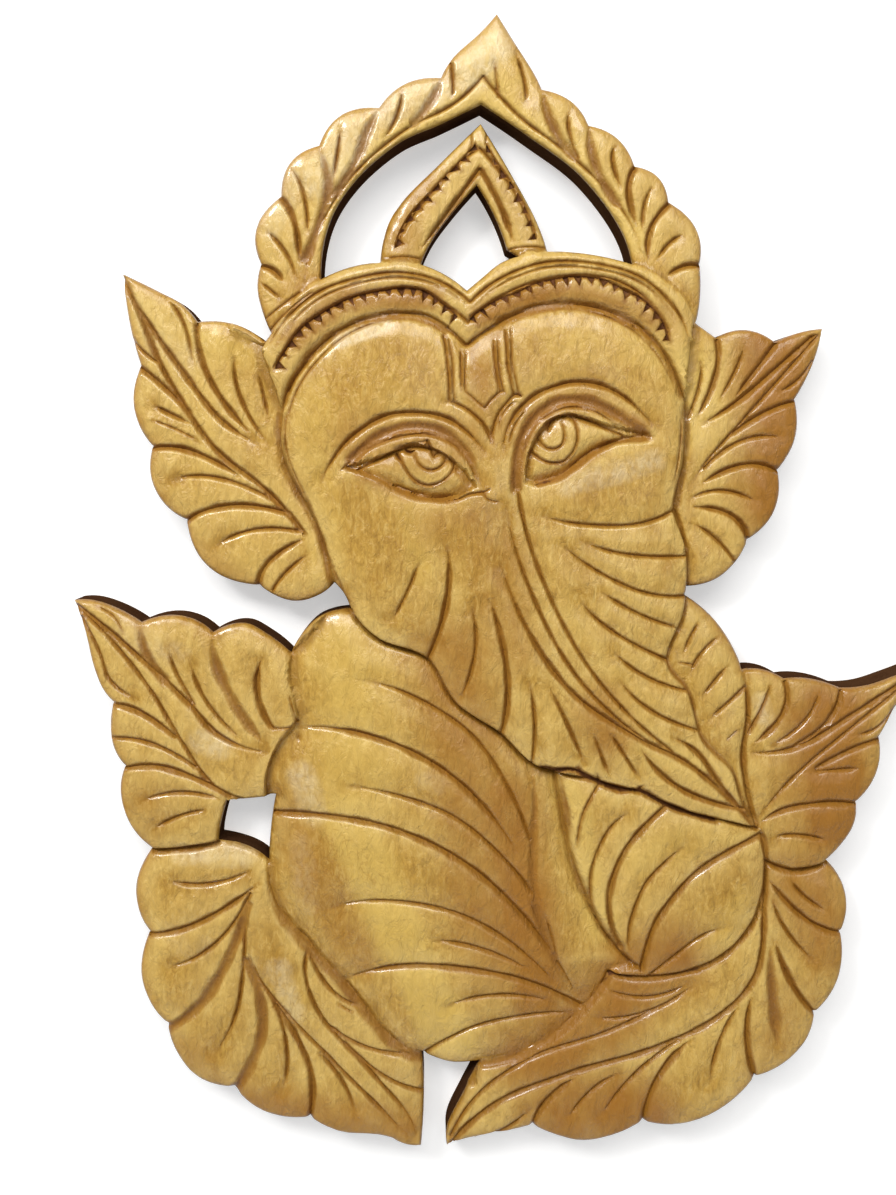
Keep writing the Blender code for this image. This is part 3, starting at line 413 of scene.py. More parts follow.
# The left eye: brow line, lid crease, lid, eyeball, iris, pupil and the nicks between them
LEFT_EYE_CUTS = (
    (BOLD, (321, 480), (330, 463), (340, 448), (350, 437), (360, 429), (375, 419), (390, 413), (405, 411),
     (420, 411), (435, 413), (450, 418), (462, 426), (474, 437), (486, 452)),
    (GOUGE, (350, 458), (362, 446), (376, 435), (390, 428), (404, 424), (420, 423), (436, 426), (450, 433),
     (462, 444), (473, 460), (481, 482)),
    (LID, (345, 466), (357, 456), (370, 447), (386, 440), (404, 435), (422, 433), (438, 436), (454, 444),
     (466, 457), (475, 476)),
    (FINE, (390, 448), (404, 444), (424, 441)),
    (LID, (357, 470), (370, 463), (385, 455), (397, 450), (407, 447), (418, 446), (430, 448), (441, 452),
     (450, 459), (457, 470)),
    (LID, (346, 467), (358, 470), (375, 477), (390, 485), (405, 492), (420, 497), (435, 499), (450, 499),
     (460, 497), (469, 493), (483, 491)),
    (SOFT, (392, 483), (408, 490), (424, 494), (440, 495), (456, 491)),
    (LID, (400, 455), (405, 466), (411, 475), (420, 482), (430, 484), (440, 481), (449, 474), (454, 466),
     (455, 459)),
    (LID, (415, 453), (418, 461), (424, 467), (431, 469), (438, 467), (443, 463), (446, 458), (443, 453),
     (438, 452), (434, 456)),
    (FINE, (483, 491), (487, 489), (491, 486)),
    (FINE, (484, 492), (486, 497), (493, 500), (501, 500)),
    (SEAM, (396, 451), (398, 455), (400, 459)),
    (SEAM, (406, 449), (409, 451), (413, 450)),
    (FINE, (449, 456), (452, 460), (453, 466)),
    (SEAM, (427, 439), (430, 446), (434, 456)),
    (FINE, (454, 463), (456, 468), (456, 474)),
)

# The right eye
RIGHT_EYE_CUTS = (
    (BOLD, (503, 449), (505, 432), (511, 418), (518, 408), (526, 400), (535, 393), (545, 388), (557, 384),
     (570, 381), (585, 381), (597, 383), (610, 388), (622, 395), (632, 403), (642, 413), (652, 423)),
    (FINE, (508, 448), (511, 432), (519, 417), (530, 405)),
    (GOUGE, (516, 488), (515, 470), (517, 450), (521, 436), (528, 423), (536, 412), (546, 404), (556, 399),
     (568, 397), (582, 398), (596, 402), (612, 410), (627, 420), (646, 433)),
    (LID, (517, 489), (516, 470), (518, 451), (522, 438), (530, 425), (540, 414), (550, 407)),
    (FINE, (522, 480), (522, 460), (525, 445), (531, 431), (541, 419), (552, 412), (563, 408), (576, 407),
     (590, 410), (605, 418), (620, 427), (632, 434)),
    (LID, (526, 478), (527, 462), (530, 448), (536, 435), (542, 427), (549, 420), (558, 416), (568, 414),
     (579, 417), (590, 421), (603, 427), (615, 432), (624, 436)),
    (SEAM, (543, 425), (549, 420), (558, 416), (566, 415)),
    (BOLD, (528, 483), (538, 481), (550, 478), (562, 473), (574, 464), (585, 455), (597, 447), (610, 441),
     (624, 438), (648, 436)),
    (SEAM, (534, 483), (546, 480), (556, 477), (566, 470)),
    (LID, (531, 451), (538, 457), (546, 461), (555, 462), (563, 460), (570, 453), (575, 443), (576, 432),
     (574, 422), (569, 415)),
    (LID, (540, 428), (537, 437), (541, 443), (546, 447), (552, 448), (558, 446), (562, 441), (563, 434),
     (562, 426), (560, 419)),
    (SEAM, (552, 418), (549, 424), (547, 432)),
    (FINE, (535, 434), (537, 441)),
    (FINE, (529, 448), (531, 455)),
)

# The brow mark, the head's edge and the folds of the trunk
FACE_CUTS = (
    (VEIN,) + HEAD_LOWER,
    (SOFT, (350, 610), (333, 583), (319, 530), (286, 465), (280, 440), (282, 410)),
    (FINE, (344, 590), (329, 556), (312, 508), (292, 465), (286, 440), (288, 412)),
    (SOFT, (684, 400), (686, 430), (683, 460), (678, 488), (673, 510)),
    (FINE, (679, 404), (680, 432), (677, 460), (672, 486)),
    (VEIN, (675, 507), (683, 530), (687, 555), (684, 610), (667, 660), (688, 690), (702, 737), (731, 768),
     (742, 800), (758, 828)),
    (BOLD, (447, 543), (447, 595), (427, 658)),
    (VEIN, (419, 560), (407, 590), (393, 617)),
    (VEIN, (471, 603), (475, 645), (460, 697)),
    (BOLD, (490, 598), (507, 680), (500, 733)),
    (VEIN, (528, 677), (534, 720), (531, 762)),
    (VEIN, (548, 683), (567, 722), (584, 762)),
    (VEIN, (592, 730), (608, 772)),
    (VEIN, (608, 728), (638, 775)),
    (BOLD, (640, 745), (660, 770), (690, 790), (745, 806)),
    (VEIN, (517, 485), (530, 545), (565, 627), (605, 687), (670, 748)),
    (VEIN, (506, 503), (519, 560), (565, 658), (612, 712), (655, 742)),
    (BOLD, (500, 560), (530, 632), (573, 690), (635, 733), (690, 762), (758, 828)),
    (VEIN, (540, 513), (580, 522), (640, 521), (673, 508)),
    (VEIN, (582, 539), (620, 551), (686, 554)),
    (VEIN, (562, 543), (590, 565), (640, 589), (684, 594)),
    (VEIN, (599, 588), (635, 610), (682, 627)),
    (VEIN, (579, 597), (600, 620), (667, 658)),
    (VEIN, (611, 647), (640, 671), (685, 688)),
    (VEIN, (617, 675), (645, 704), (698, 728)),
    (BOLD, (671, 733), (697, 750), (720, 783), (745, 812)),
    (LID, (443, 333), (446, 350), (448, 370), (449, 385), (449, 401)),
    (FINE, (448, 337), (451, 350), (453, 370), (454, 401)),
    (LID, (460, 346), (461, 370), (461, 391)),
    (FINE, (466, 349), (465, 370), (465, 391)),
    (FINE, (465, 391), (474, 399), (484, 408)),
    (LID, (500, 391), (492, 398), (485, 407)),
    (LID, (493, 334), (494, 355), (496, 375), (500, 391)),
    (FINE, (497, 332), (498, 355), (500, 375), (503, 391)),
    (LID, (505, 328), (506, 345), (507, 365), (510, 380), (513, 394)),
    (FINE, (510, 326), (511, 345), (512, 365), (515, 380), (518, 393)),
    (VEIN, (443, 402), (450, 401), (457, 403), (465, 407), (474, 414), (482, 422), (487, 430), (490, 438)),
    (VEIN, (520, 395), (514, 394), (506, 402), (499, 411), (494, 423), (491, 438)),
    (FINE, (518, 400), (508, 406), (501, 416), (498, 430)),
)

# The ears, each a leaf with a double midrib
LEFT_EAR_CUTS = (
    (BOLD, (121, 275), (135, 303), (165, 372), (215, 447), (262, 485), (303, 530)),
    (BOLD, (133, 300), (180, 366), (220, 417), (258, 441)),
    (VEIN, (165, 297), (180, 315), (192, 362)),
    (BOLD, (196, 321), (206, 370), (252, 433)),
    (VEIN, (234, 352), (238, 390), (268, 443)),
    (VEIN, (258, 372), (268, 415)),
    (VEIN, (130, 336), (145, 352), (157, 360)),
    (BOLD, (139, 365), (163, 384), (190, 412)),
    (VEIN, (151, 403), (190, 422)),
    (BOLD, (151, 446), (180, 446), (210, 457), (240, 475)),
    (VEIN, (170, 479), (210, 475), (275, 500)),
    (BOLD, (185, 520), (203, 509), (240, 503), (290, 512)),
    (VEIN, (215, 545), (250, 529), (300, 530)),
    (BOLD, (258, 586), (265, 564), (303, 537)),
    (VEIN, (272, 590), (282, 575), (307, 553)),
    (FINE, (148, 418), (175, 428), (203, 443)),
)

RIGHT_EAR_CUTS = (
    (VEIN, (700, 358), (702, 372), (689, 416)),
    (BOLD, (718, 337), (717, 370), (697, 416)),
    (VEIN, (744, 345), (741, 358), (721, 397)),
    (BOLD, (777, 341), (765, 357), (736, 395)),
    (BOLD, (815, 333), (775, 368), (740, 398), (702, 422)),
    (VEIN, (822, 331), (780, 378), (740, 423), (706, 462), (690, 486)),
    (VEIN, (815, 357), (797, 380), (779, 390)),
    (BOLD, (797, 399), (770, 408), (735, 430)),
    (VEIN, (783, 436), (745, 438), (705, 467)),
    (BOLD, (780, 470), (750, 462), (703, 481)),
    (VEIN, (757, 500), (720, 489), (690, 498)),
    (BOLD, (750, 540), (735, 515), (692, 505)),
    (VEIN, (736, 560), (715, 536), (694, 522)),
)

# The shoulder and the hand leaves
SHOULDER_CUTS = (
    (VEIN, (700, 620), (691, 635), (684, 652)),
    (VEIN, (720, 635), (703, 650), (690, 672)),
    (VEIN, (727, 665), (702, 695)),
    (VEIN, (746, 686), (710, 717)),
    (BOLD,) + HAND_ROOT,
    (FINE, (677, 661), (693, 664)),
    (FINE, (739, 728), (725, 740)),
)

RIGHT_HAND_CUTS = (
    (VEIN, (771, 683), (766, 700), (750, 732)),
    (BOLD, (786, 680), (785, 708), (755, 742)),
    (VEIN, (820, 690), (807, 717), (773, 744)),
    (BOLD, (842, 689), (830, 717), (797, 743)),
    (BOLD, (910, 677), (860, 708), (800, 744), (752, 751)),
    (VEIN, (912, 680), (850, 728), (790, 780), (760, 818)),
    (VEIN, (896, 706), (878, 726), (858, 733)),
    (BOLD, (881, 738), (855, 746), (815, 768)),
    (VEIN, (860, 767), (817, 770)),
    (BOLD, (858, 803), (825, 801), (785, 808), (762, 822)),
    (VEIN, (828, 840), (795, 834), (775, 837)),
    (BOLD, (829, 863), (795, 871), (767, 861)),
)

LEFT_HAND_CUTS = (
    (BOLD, (75, 603), (110, 630), (150, 665), (190, 703), (212, 728), (240, 744), (269, 750)),
    (GOUGE, (140, 623), (146, 650), (167, 679)),
    (VEIN, (78, 609), (110, 638), (150, 688), (180, 738), (212, 783), (242, 798)),
    (VEIN, (80, 615), (100, 653), (109, 678), (138, 698)),
    (BOLD, (112, 703), (133, 707), (175, 735)),
    (VEIN, (112, 737), (148, 741), (195, 766)),
    (BOLD, (124, 767), (155, 764), (192, 775), (230, 795)),
    (VEIN, (143, 799), (180, 791), (222, 799)),
    (VEIN, (153, 828), (182, 814), (208, 809)),
    (VEIN, (168, 650), (178, 675), (194, 703)),
    (VEIN, (190, 660), (205, 698), (240, 737)),
    (GOUGE, (212, 633), (216, 660), (238, 706), (265, 741)),
    (BOLD, (262, 655), (257, 690), (273, 728)),
    (BOLD, (150, 851), (185, 849), (217, 843)),
    (FINE, (92, 604), (106, 611), (116, 619), (124, 636)),
    (FINE, (288, 692), (292, 706), (296, 722)),
    (FINE, (273, 728), (283, 728), (292, 727)),
)

# The belly with its fan of folds, and the arm leaf across it
BELLY_CUTS = (
    (FINE, (297, 722), (289, 729), (281, 739), (273, 754), (268, 768), (266, 783), (267, 798)),
    (GOUGE,) + BODY_LOWER_LEFT,
    (BOLD,) + BODY_LOWER_RIGHT,
    (SOFT, (556, 770), (562, 800), (567, 830), (574, 862), (586, 893), (605, 928), (638, 968)),
    (VEIN, (358, 677), (412, 694), (473, 735), (511, 792), (530, 840)),
    (BOLD, (296, 727), (350, 729), (408, 747), (463, 783), (517, 850)),
    (VEIN, (347, 783), (402, 794), (455, 815), (500, 853), (532, 892)),
    (BOLD, (273, 813), (335, 814), (395, 826), (465, 860), (530, 922), (580, 1001)),
    (VEIN, (330, 908), (375, 898), (450, 908), (505, 936), (560, 988)),
    (VEIN, (433, 937), (482, 946), (527, 967)),
    (BOLD, (343, 981), (393, 965), (445, 963), (520, 977), (583, 1009)),
    (VEIN, (447, 1004), (495, 993), (552, 1002)),
    (VEIN, (423, 1058), (470, 1028), (530, 1015), (575, 1016)),
    (SOFT, (531, 768), (535, 800), (533, 850), (535, 890), (545, 935), (570, 990)),
    (FINE, (527, 895), (536, 915), (548, 945), (556, 966)),
    (FINE, (560, 775), (566, 800), (572, 835)),
    (FINE, (601, 928), (612, 943), (627, 958), (640, 969)),
    (VEIN, (297, 733), (298, 741)),
    (FINE, (545, 915), (552, 935), (556, 955)),
)

ARM_CUTS = (
    (LID, (600, 781), (590, 797), (582, 815), (577, 848)),
    (VEIN, (630, 809), (612, 824), (601, 842), (592, 868), (591, 895), (598, 922)),
    (BOLD, (666, 804), (645, 823), (626, 846), (614, 872), (609, 895), (611, 920), (622, 948)),
    (VEIN, (684, 843), (664, 861), (646, 881), (635, 905), (629, 930), (630, 953)),
    (BOLD, (762, 833), (697, 869), (672, 896), (655, 921), (647, 945), (642, 967)),
    (VEIN, (723, 926), (700, 935), (672, 957), (649, 976)),
    (BOLD,) + ARM_LOWER,
)

# The leg leaves
LEFT_LEG_CUTS = (
    (VEIN, (168, 881), (207, 884), (250, 871)),
    (BOLD, (148, 934), (185, 927), (225, 907), (256, 884)),
    (VEIN, (168, 967), (213, 945), (250, 893)),
    (GOUGE, (166, 1027), (202, 999), (234, 942), (247, 900)),
    (VEIN, (215, 1053), (235, 1015), (242, 975), (244, 920)),
    (GOUGE, (233, 1091), (260, 1037), (261, 1003), (245, 957)),
    (VEIN, (281, 1092), (287, 1060), (278, 1012), (262, 985)),
    (BOLD, (309, 1121), (311, 1075), (298, 1040), (275, 1005)),
    (VEIN, (253, 970), (275, 1001), (335, 1064), (393, 1122), (408, 1140)),
    (VEIN, (354, 1112), (343, 1083), (317, 1052)),
    (VEIN, (308, 948), (305, 975), (320, 1015), (375, 1077), (408, 1117), (417, 1140)),
    (VEIN, (330, 1027), (365, 1047), (410, 1056)),
    (VEIN, (345, 1043), (383, 1076), (424, 1094)),
    (VEIN, (307, 950), (333, 992), (362, 1008)),
    (FINE, (337, 1003), (347, 1010), (355, 1013)),
)

RIGHT_LEG_CUTS = (
    (VEIN, (608, 990), (650, 997), (690, 983)),
    (VEIN, (595, 1018), (648, 1012), (695, 984)),
    (VEIN, (450, 1143), (480, 1094), (535, 1057), (610, 1031), (662, 1006)),
    (BOLD, (451, 1147), (495, 1104), (570, 1073), (660, 1046), (725, 1012), (758, 972), (766, 900),
     (768, 866)),
    (VEIN, (470, 1144), (508, 1128), (530, 1109)),
    (BOLD, (533, 1129), (542, 1107), (575, 1078)),
    (VEIN, (569, 1118), (592, 1091), (619, 1074)),
    (VEIN, (602, 1116), (637, 1073), (680, 1041)),
    (BOLD, (644, 1125), (657, 1080), (693, 1038)),
    (VEIN, (711, 1080), (721, 1040), (740, 1006)),
    (BOLD, (757, 1080), (748, 1038), (752, 997)),
    (GOUGE, (779, 1045), (774, 1000), (771, 945)),
    (BOLD, (817, 1014), (795, 986), (776, 940)),
    (VEIN, (813, 959), (786, 928), (774, 900)),
    (BOLD, (843, 933), (810, 920), (771, 880)),
    (VEIN, (826, 910), (803, 894), (793, 880)),
    (FINE, (583, 1041), (610, 1031), (640, 1020), (662, 1007)),
)

# The deepest seams, cut twice with a narrow blade, dark with old stain and with shade painted at their floors
SEAMS = (
    (CLEFT, (541, 764), (556, 767), (572, 766), (586, 773), (600, 780), (620, 787), (640, 788), (662, 800),
     (690, 811), (716, 818)),
    (SEAM, (609, 974), (630, 978), (650, 979), (676, 975), (700, 970)),
    (SEAM, (604, 985), (612, 976)),
    (SEAM, (576, 763), (582, 772)),
    (SEAM, (596, 771), (599, 780)),
    (SEAM, (634, 790), (642, 782)),
    (SEAM, (632, 324), (634, 327)),
    (SEAM, (305, 787), (307, 790)),
    (SEAM, (464, 737), (466, 740)),
    (SEAM, (449, 854), (451, 857)),
)

ALL_CUTS = (SEAMS + CROWN_CUTS + FLAME_CUTS + BAND_CUTS + FACE_CUTS + BELLY_CUTS + ARM_CUTS + LEFT_EYE_CUTS
            + RIGHT_EYE_CUTS + LEFT_EAR_CUTS + RIGHT_EAR_CUTS + SHOULDER_CUTS + RIGHT_HAND_CUTS
            + LEFT_HAND_CUTS + LEFT_LEG_CUTS + RIGHT_LEG_CUTS)


def stroke_lines(cuts):
    """Every stroke's floor line with its width and its half width at each point, in squares."""
    lines = [smooth_through(points, STROKE_STEP) + (0.0, width * DROP_SHARE) for width, *points in cuts]
    starts = np.vstack([line[:-1] for line in lines])
    ends = np.vstack([line[1:] for line in lines])
    owner = np.concatenate([np.full(len(line) - 1, number) for number, line in enumerate(lines)])
    rims = np.vstack(LOOPS)
    strokes = []
    for number, ((width, *points), line) in enumerate(zip(cuts, lines)):
        tips = line[[0, -1]]
        to_rim = np.hypot(*(rims[:, None] - tips).transpose(2, 0, 1)).min(axis=0)
        others = owner != number
        to_others = segment_distances(tips, starts[others], ends[others]).min(axis=1)
        held = np.minimum(to_rim, to_others) < HOLDING_GAP
        along = np.concatenate(([0.0], np.cumsum(np.hypot(*np.diff(line, axis=0).T))))
        share = along / along[-1]
        half = width / 2 * (1 + WAVERING * np.sin(along / 7.0 + number) * np.sin(along / 19.0 + 2 * number))
        if not held[0]:
            half *= np.clip(share / RUN_OUT_SHARE + TIP_SHARE, 0, 1)
        if not held[1]:
            half *= np.clip((1 - share) / RUN_OUT_SHARE + TIP_SHARE, 0, 1)
        strokes.append((width, line, half))
    return strokes


STROKES = stroke_lines(ALL_CUTS)


def stroke_curves(name, strokes):
    """The strokes as one curve object on the sheet, each point's radius being its half width."""
    data = bpy.data.curves.new(name, "CURVE")
    data.dimensions = "3D"
    for width, line, half in strokes:
        spline = data.splines.new("POLY")
        spline.points.add(len(line) - 1)
        flat = np.column_stack((on_board(line, np.zeros(len(line))), np.ones(len(line))))
        spline.points.foreach_set("co", flat.ravel())
        spline.points.foreach_set("radius", half * SQUARE)
    curves = bpy.data.objects.new(name, data)
    bpy.context.scene.collection.objects.link(curves)
    return curves


fine_strokes = stroke_curves("fine_strokes", [stroke for stroke in STROKES if stroke[0] in (FINE, LID)])
v_strokes = stroke_curves("v_strokes", [stroke for stroke in STROKES if stroke[0] in (VEIN, BOLD)])
gouge_strokes = stroke_curves("gouge_strokes", [stroke for stroke in STROKES if stroke[0] in (SOFT, GOUGE)])

# The wood
# Pale close-grained hardwood, stained gold and varnished.  Short dark pores run up the board, the stain
# lies unevenly in clouds, and fine cracks in the varnish show on the high parts.


def put(tree, kind, inputs=None, **settings):
    """A new node with its settings, its inputs joined to sockets or set to values."""
    node = tree.nodes.new(kind)
    for name, value in settings.items():
        setattr(node, name, value)
    for key, value in (inputs or {}).items():
        if isinstance(value, bpy.types.NodeSocket):
            tree.links.new(value, node.inputs[key])
        else:
            node.inputs[key].default_value = value
    return node


def sums(tree, operation, *values):
    """The result of one arithmetic step on sockets or numbers."""
    return put(tree, "ShaderNodeMath", dict(enumerate(values)), operation=operation).outputs[0]


def new_tree(name, kind, inputs, outputs):
    """An empty node tree with named sockets, and its input and output nodes."""
    tree = bpy.data.node_groups.new(name, kind)
    for label, socket_type, value in inputs:
        socket = tree.interface.new_socket(name=label, in_out="INPUT", socket_type=socket_type)
        if value is not None:
            socket.default_value = value
    for label, socket_type in outputs:
        tree.interface.new_socket(name=label, in_out="OUTPUT", socket_type=socket_type)
    return tree, tree.nodes.new("NodeGroupInput").outputs, tree.nodes.new("NodeGroupOutput").inputs


def stretched_noise(tree, place, stretch, scale, detail=2.0, roughness=0.5, distortion=0.0):
    """Noise whose marks are drawn out along the board's height."""
    mapped = put(tree, "ShaderNodeMapping", {"Vector": place, "Scale": (1.0, 1.0, stretch)})
    noise = put(tree, "ShaderNodeTexNoise", {"Vector": mapped.outputs[0], "Scale": scale, "Detail": detail,
                                             "Roughness": roughness, "Distortion": distortion})
    return noise.outputs[0]


def graded(tree, value, low, high, to_low=0.0, to_high=1.0):
    """A value moved from one range to another and held within it."""
    return put(tree, "ShaderNodeMapRange", {"Value": value, "From Min": low, "From Max": high,
                                            "To Min": to_low, "To Max": to_high}).outputs[0]


def tinted(tree, share, first, second):
    """Two colours mixed by a share."""
    mix = put(tree, "ShaderNodeMix", {0: share}, data_type="RGBA")
    for socket, value in ((mix.inputs[6], first), (mix.inputs[7], second)):
        if isinstance(value, bpy.types.NodeSocket):
            tree.links.new(value, socket)
        else:
            socket.default_value = (*value, 1.0)
    return mix.outputs[2]


COLOUR = "NodeSocketColor"
NUMBER = "NodeSocketFloat"
fibre, taken, given = new_tree(
    "wood_fibre", "ShaderNodeTree",
    (("Place", "NodeSocketVector", None), ("Pale", COLOUR, (0.70, 0.46, 0.13, 1)),
     ("Deep", COLOUR, (0.42, 0.24, 0.05, 1)), ("Pore colour", COLOUR, (0.20, 0.10, 0.02, 1)),
     ("Pores", NUMBER, 0.6)),
    (("Colour", COLOUR), ("Height", NUMBER)))
clouds = graded(fibre, stretched_noise(fibre, taken["Place"], 0.5, 26.0, 4.0, 0.6), 0.32, 0.68)
ribbons = graded(fibre, stretched_noise(fibre, taken["Place"], 0.12, 85.0, 2.0, 0.5, 0.6), 0.32, 0.68)
streaks = graded(fibre, stretched_noise(fibre, taken["Place"], 0.10, 1250.0, 3.0, 0.65, 0.4), 0.36, 0.66)
pores = graded(fibre, stretched_noise(fibre, taken["Place"], 0.13, 1500.0, 1.0, 0.5, 0.3), 0.60, 0.68)
crowded = graded(fibre, stretched_noise(fibre, taken["Place"], 0.6, 48.0, 2.0), 0.40, 0.62, 0.25, 1.0)
pore_share = sums(fibre, "MULTIPLY", sums(fibre, "MULTIPLY", pores, crowded), taken["Pores"])
tone = sums(fibre, "ADD", sums(fibre, "MULTIPLY", clouds, 0.42), sums(fibre, "MULTIPLY", ribbons, 0.30))
tone = sums(fibre, "ADD", tone, sums(fibre, "MULTIPLY", streaks, 0.28))
body_colour = tinted(fibre, tone, taken["Deep"], taken["Pale"])
fibre.links.new(tinted(fibre, pore_share, body_colour, taken["Pore colour"]), given["Colour"])
fibre.links.new(sums(fibre, "SUBTRACT", sums(fibre, "MULTIPLY", streaks, 0.4), pores), given["Height"])


def wood_material(name, pale, deep, pore_colour, pores):
    """A material with the board's fibre in it; gives it with its tree, shader and fibre node."""
    material = bpy.data.materials.new(name)
    material.use_nodes = True
    tree = material.node_tree
    shader = tree.nodes["Principled BSDF"]
    place = put(tree, "ShaderNodeTexCoord").outputs["Object"]
    grain = put(tree, "ShaderNodeGroup", node_tree=fibre)
    tree.links.new(place, grain.inputs["Place"])
    grain.inputs["Pale"].default_value = (*pale, 1)
    grain.inputs["Deep"].default_value = (*deep, 1)
    grain.inputs["Pore colour"].default_value = (*pore_colour, 1)
    grain.inputs["Pores"].default_value = pores
    return material, tree, shader, place, grain


# Varnish over the carved face: stain gathers in the strokes with shade painted into their depths, the hollows
# are painted darker and the ridges paler
varnished, tree, shader, place, grain = wood_material(
    "varnished_wood", (0.58, 0.358, 0.072), (0.36, 0.181, 0.021), (0.20, 0.09, 0.012), 0.12)
groove = put(tree, "ShaderNodeAttribute", attribute_name="groove").outputs["Fac"]
hollow = put(tree, "ShaderNodeAttribute", attribute_name="hollow").outputs["Fac"]
brown = put(tree, "ShaderNodeAttribute", attribute_name="brown").outputs["Fac"]
gold = put(tree, "ShaderNodeAttribute", attribute_name="gold").outputs["Fac"]
bloom_and_glare = put(tree, "ShaderNodeAttribute", attribute_name="bloom_and_glare").outputs["Fac"]
flecks = stretched_noise(tree, place, 0.45, 420.0, 4.0, 0.7, 0.9)
dark_flecks = graded(tree, flecks, 0.50, 0.32, 0.0, 0.58)
pale_flecks = graded(tree, flecks, 0.52, 0.70, 0.0, 0.42)
colour = tinted(tree, dark_flecks, grain.outputs["Colour"], (0.25, 0.125, 0.014))
colour = tinted(tree, pale_flecks, colour, (0.80, 0.58, 0.20))
ragged = graded(tree, stretched_noise(tree, place, 0.6, 70.0, 5.0, 0.7, 0.5), 0.3, 0.7, -0.20, 0.20)
amber = graded(tree, sums(tree, "ADD", brown, ragged), 0.08, 1.05, 0.0, 0.95)
sunny = graded(tree, sums(tree, "ADD", gold, ragged), 0.20, 0.80, 0.0, 0.72)
broken = graded(tree, stretched_noise(tree, place, 0.7, 480.0, 2.0, 0.6), 0.38, 0.58, 0.45, 1.0)
chalky_and_glare = graded(tree, sums(tree, "ADD", bloom_and_glare, ragged), 0.25, 1.0, 0.0, 0.70)
colour = tinted(tree, sunny, colour, (0.66, 0.45, 0.105))
# The pale bands are partly a chalky bloom in the varnish and partly painted highlights, on the crown's upper
# left lobes, the band's top, the forehead's edge and the leaf tips
colour = tinted(tree, sums(tree, "MULTIPLY", chalky_and_glare, broken), colour, (0.72, 0.60, 0.38))
# The ridges are painted paler and the hollows darker, by how far each place stands above or below its blurred
# surroundings
ridge = graded(tree, hollow, -0.15, -0.9, 0.0, 0.5)
colour = tinted(tree, ridge, colour, (0.74, 0.53, 0.17))
uneven = graded(tree, stretched_noise(tree, place, 1.0, 120.0, 3.0, 0.6), 0.3, 0.65, 0.60, 1.0)
valley = sums(tree, "MULTIPLY", graded(tree, hollow, 0.15, 1.1, 0.0, 0.60), uneven)
colour = tinted(tree, valley, colour, (0.25, 0.12, 0.016))
# The brown bands: partly heavy stain, partly painted shade along the eyes' lids and the outer rim
colour = tinted(tree, amber, colour, (0.325, 0.135, 0.014))
# Stain lies in the cuts, with shade painted into it: darkest on walls that face down and to the right, away
# from the light, and paler on walls that face up and to the left
turned = put(tree, "ShaderNodeSeparateXYZ", {0: put(tree, "ShaderNodeNewGeometry").outputs["Normal"]})
facing_light = sums(tree, "SUBTRACT", sums(tree, "MULTIPLY", turned.outputs[2], 0.9),
               sums(tree, "MULTIPLY", turned.outputs[0], 0.45))
painted_shade_under_lip = graded(tree, facing_light, 0.30, -0.30)
stain_and_painted_shade = tinted(tree, painted_shade_under_lip, (0.30, 0.132, 0.016), (0.175, 0.064, 0.007))
stain_and_shade_share = sums(tree, "MULTIPLY", graded(tree, groove, 0.03, 0.38, 0.0, 0.95), uneven)
colour = tinted(tree, stain_and_shade_share, colour, stain_and_painted_shade)
# Painted shade: where a cut is deepest, at the floors of seams, notches and the deeper strokes, the colour is
# painted nearly black
colour = tinted(tree, graded(tree, groove, 0.72, 1.10, 0.0, 0.92), colour, (0.092, 0.027, 0.005))
# A net of fine cracks in the varnish, its meshes drawn out upwards, open in some places only
wander = put(tree, "ShaderNodeTexNoise", {"Vector": place, "Scale": 260.0, "Detail": 2.0}).outputs["Color"]
swayed = put(tree, "ShaderNodeVectorMath", {0: wander, 1: (0.0034, 0.0034, 0.0034), 2: place},
             operation="MULTIPLY_ADD").outputs[0]
mesh_place = put(tree, "ShaderNodeMapping", {"Vector": swayed, "Scale": (1.0, 1.0, 0.42)})
crackle = put(tree, "ShaderNodeTexVoronoi", {"Vector": mesh_place.outputs[0], "Scale": 520.0},
              feature="DISTANCE_TO_EDGE").outputs["Distance"]
cracked = sums(tree, "MULTIPLY", graded(tree, stretched_noise(tree, place, 0.8, 50.0, 2.0), 0.46, 0.62),
               graded(tree, stretched_noise(tree, place, 0.9, 300.0, 1.0), 0.42, 0.56))
crack = sums(tree, "MULTIPLY", graded(tree, crackle, 0.02, 0.10, 1.0, 0.0), cracked)
colour = tinted(tree, sums(tree, "MULTIPLY", crack, 0.36), colour, (0.30, 0.135, 0.016))
tree.links.new(colour, shader.inputs["Base Color"])
patchy = stretched_noise(tree, place, 0.5, 75.0, 4.0, 0.65)
dull = graded(tree, groove, 0.3, 0.9, 0.0, 0.35)
rubbed = graded(tree, patchy, 0.3, 0.7, 0.20, 0.42)
tree.links.new(sums(tree, "ADD", rubbed, dull), shader.inputs["Roughness"])
thickness = graded(tree, patchy, 0.35, 0.6, 0.9, 0.25)
missed = graded(tree, groove, 0.2, 0.7, 1.0, 0.0)
tree.links.new(sums(tree, "MULTIPLY", thickness, missed), shader.inputs["Coat Weight"])
shader.inputs["Coat Roughness"].default_value = 0.13
shader.inputs["Specular IOR Level"].default_value = 0.25
leathery = stretched_noise(tree, place, 0.55, 300.0, 4.0, 0.6, 0.8)
bump = put(tree, "ShaderNodeBump", {"Height": leathery, "Strength": 0.95, "Distance": 0.0012})
tree.links.new(bump.outputs[0], shader.inputs["Normal"])

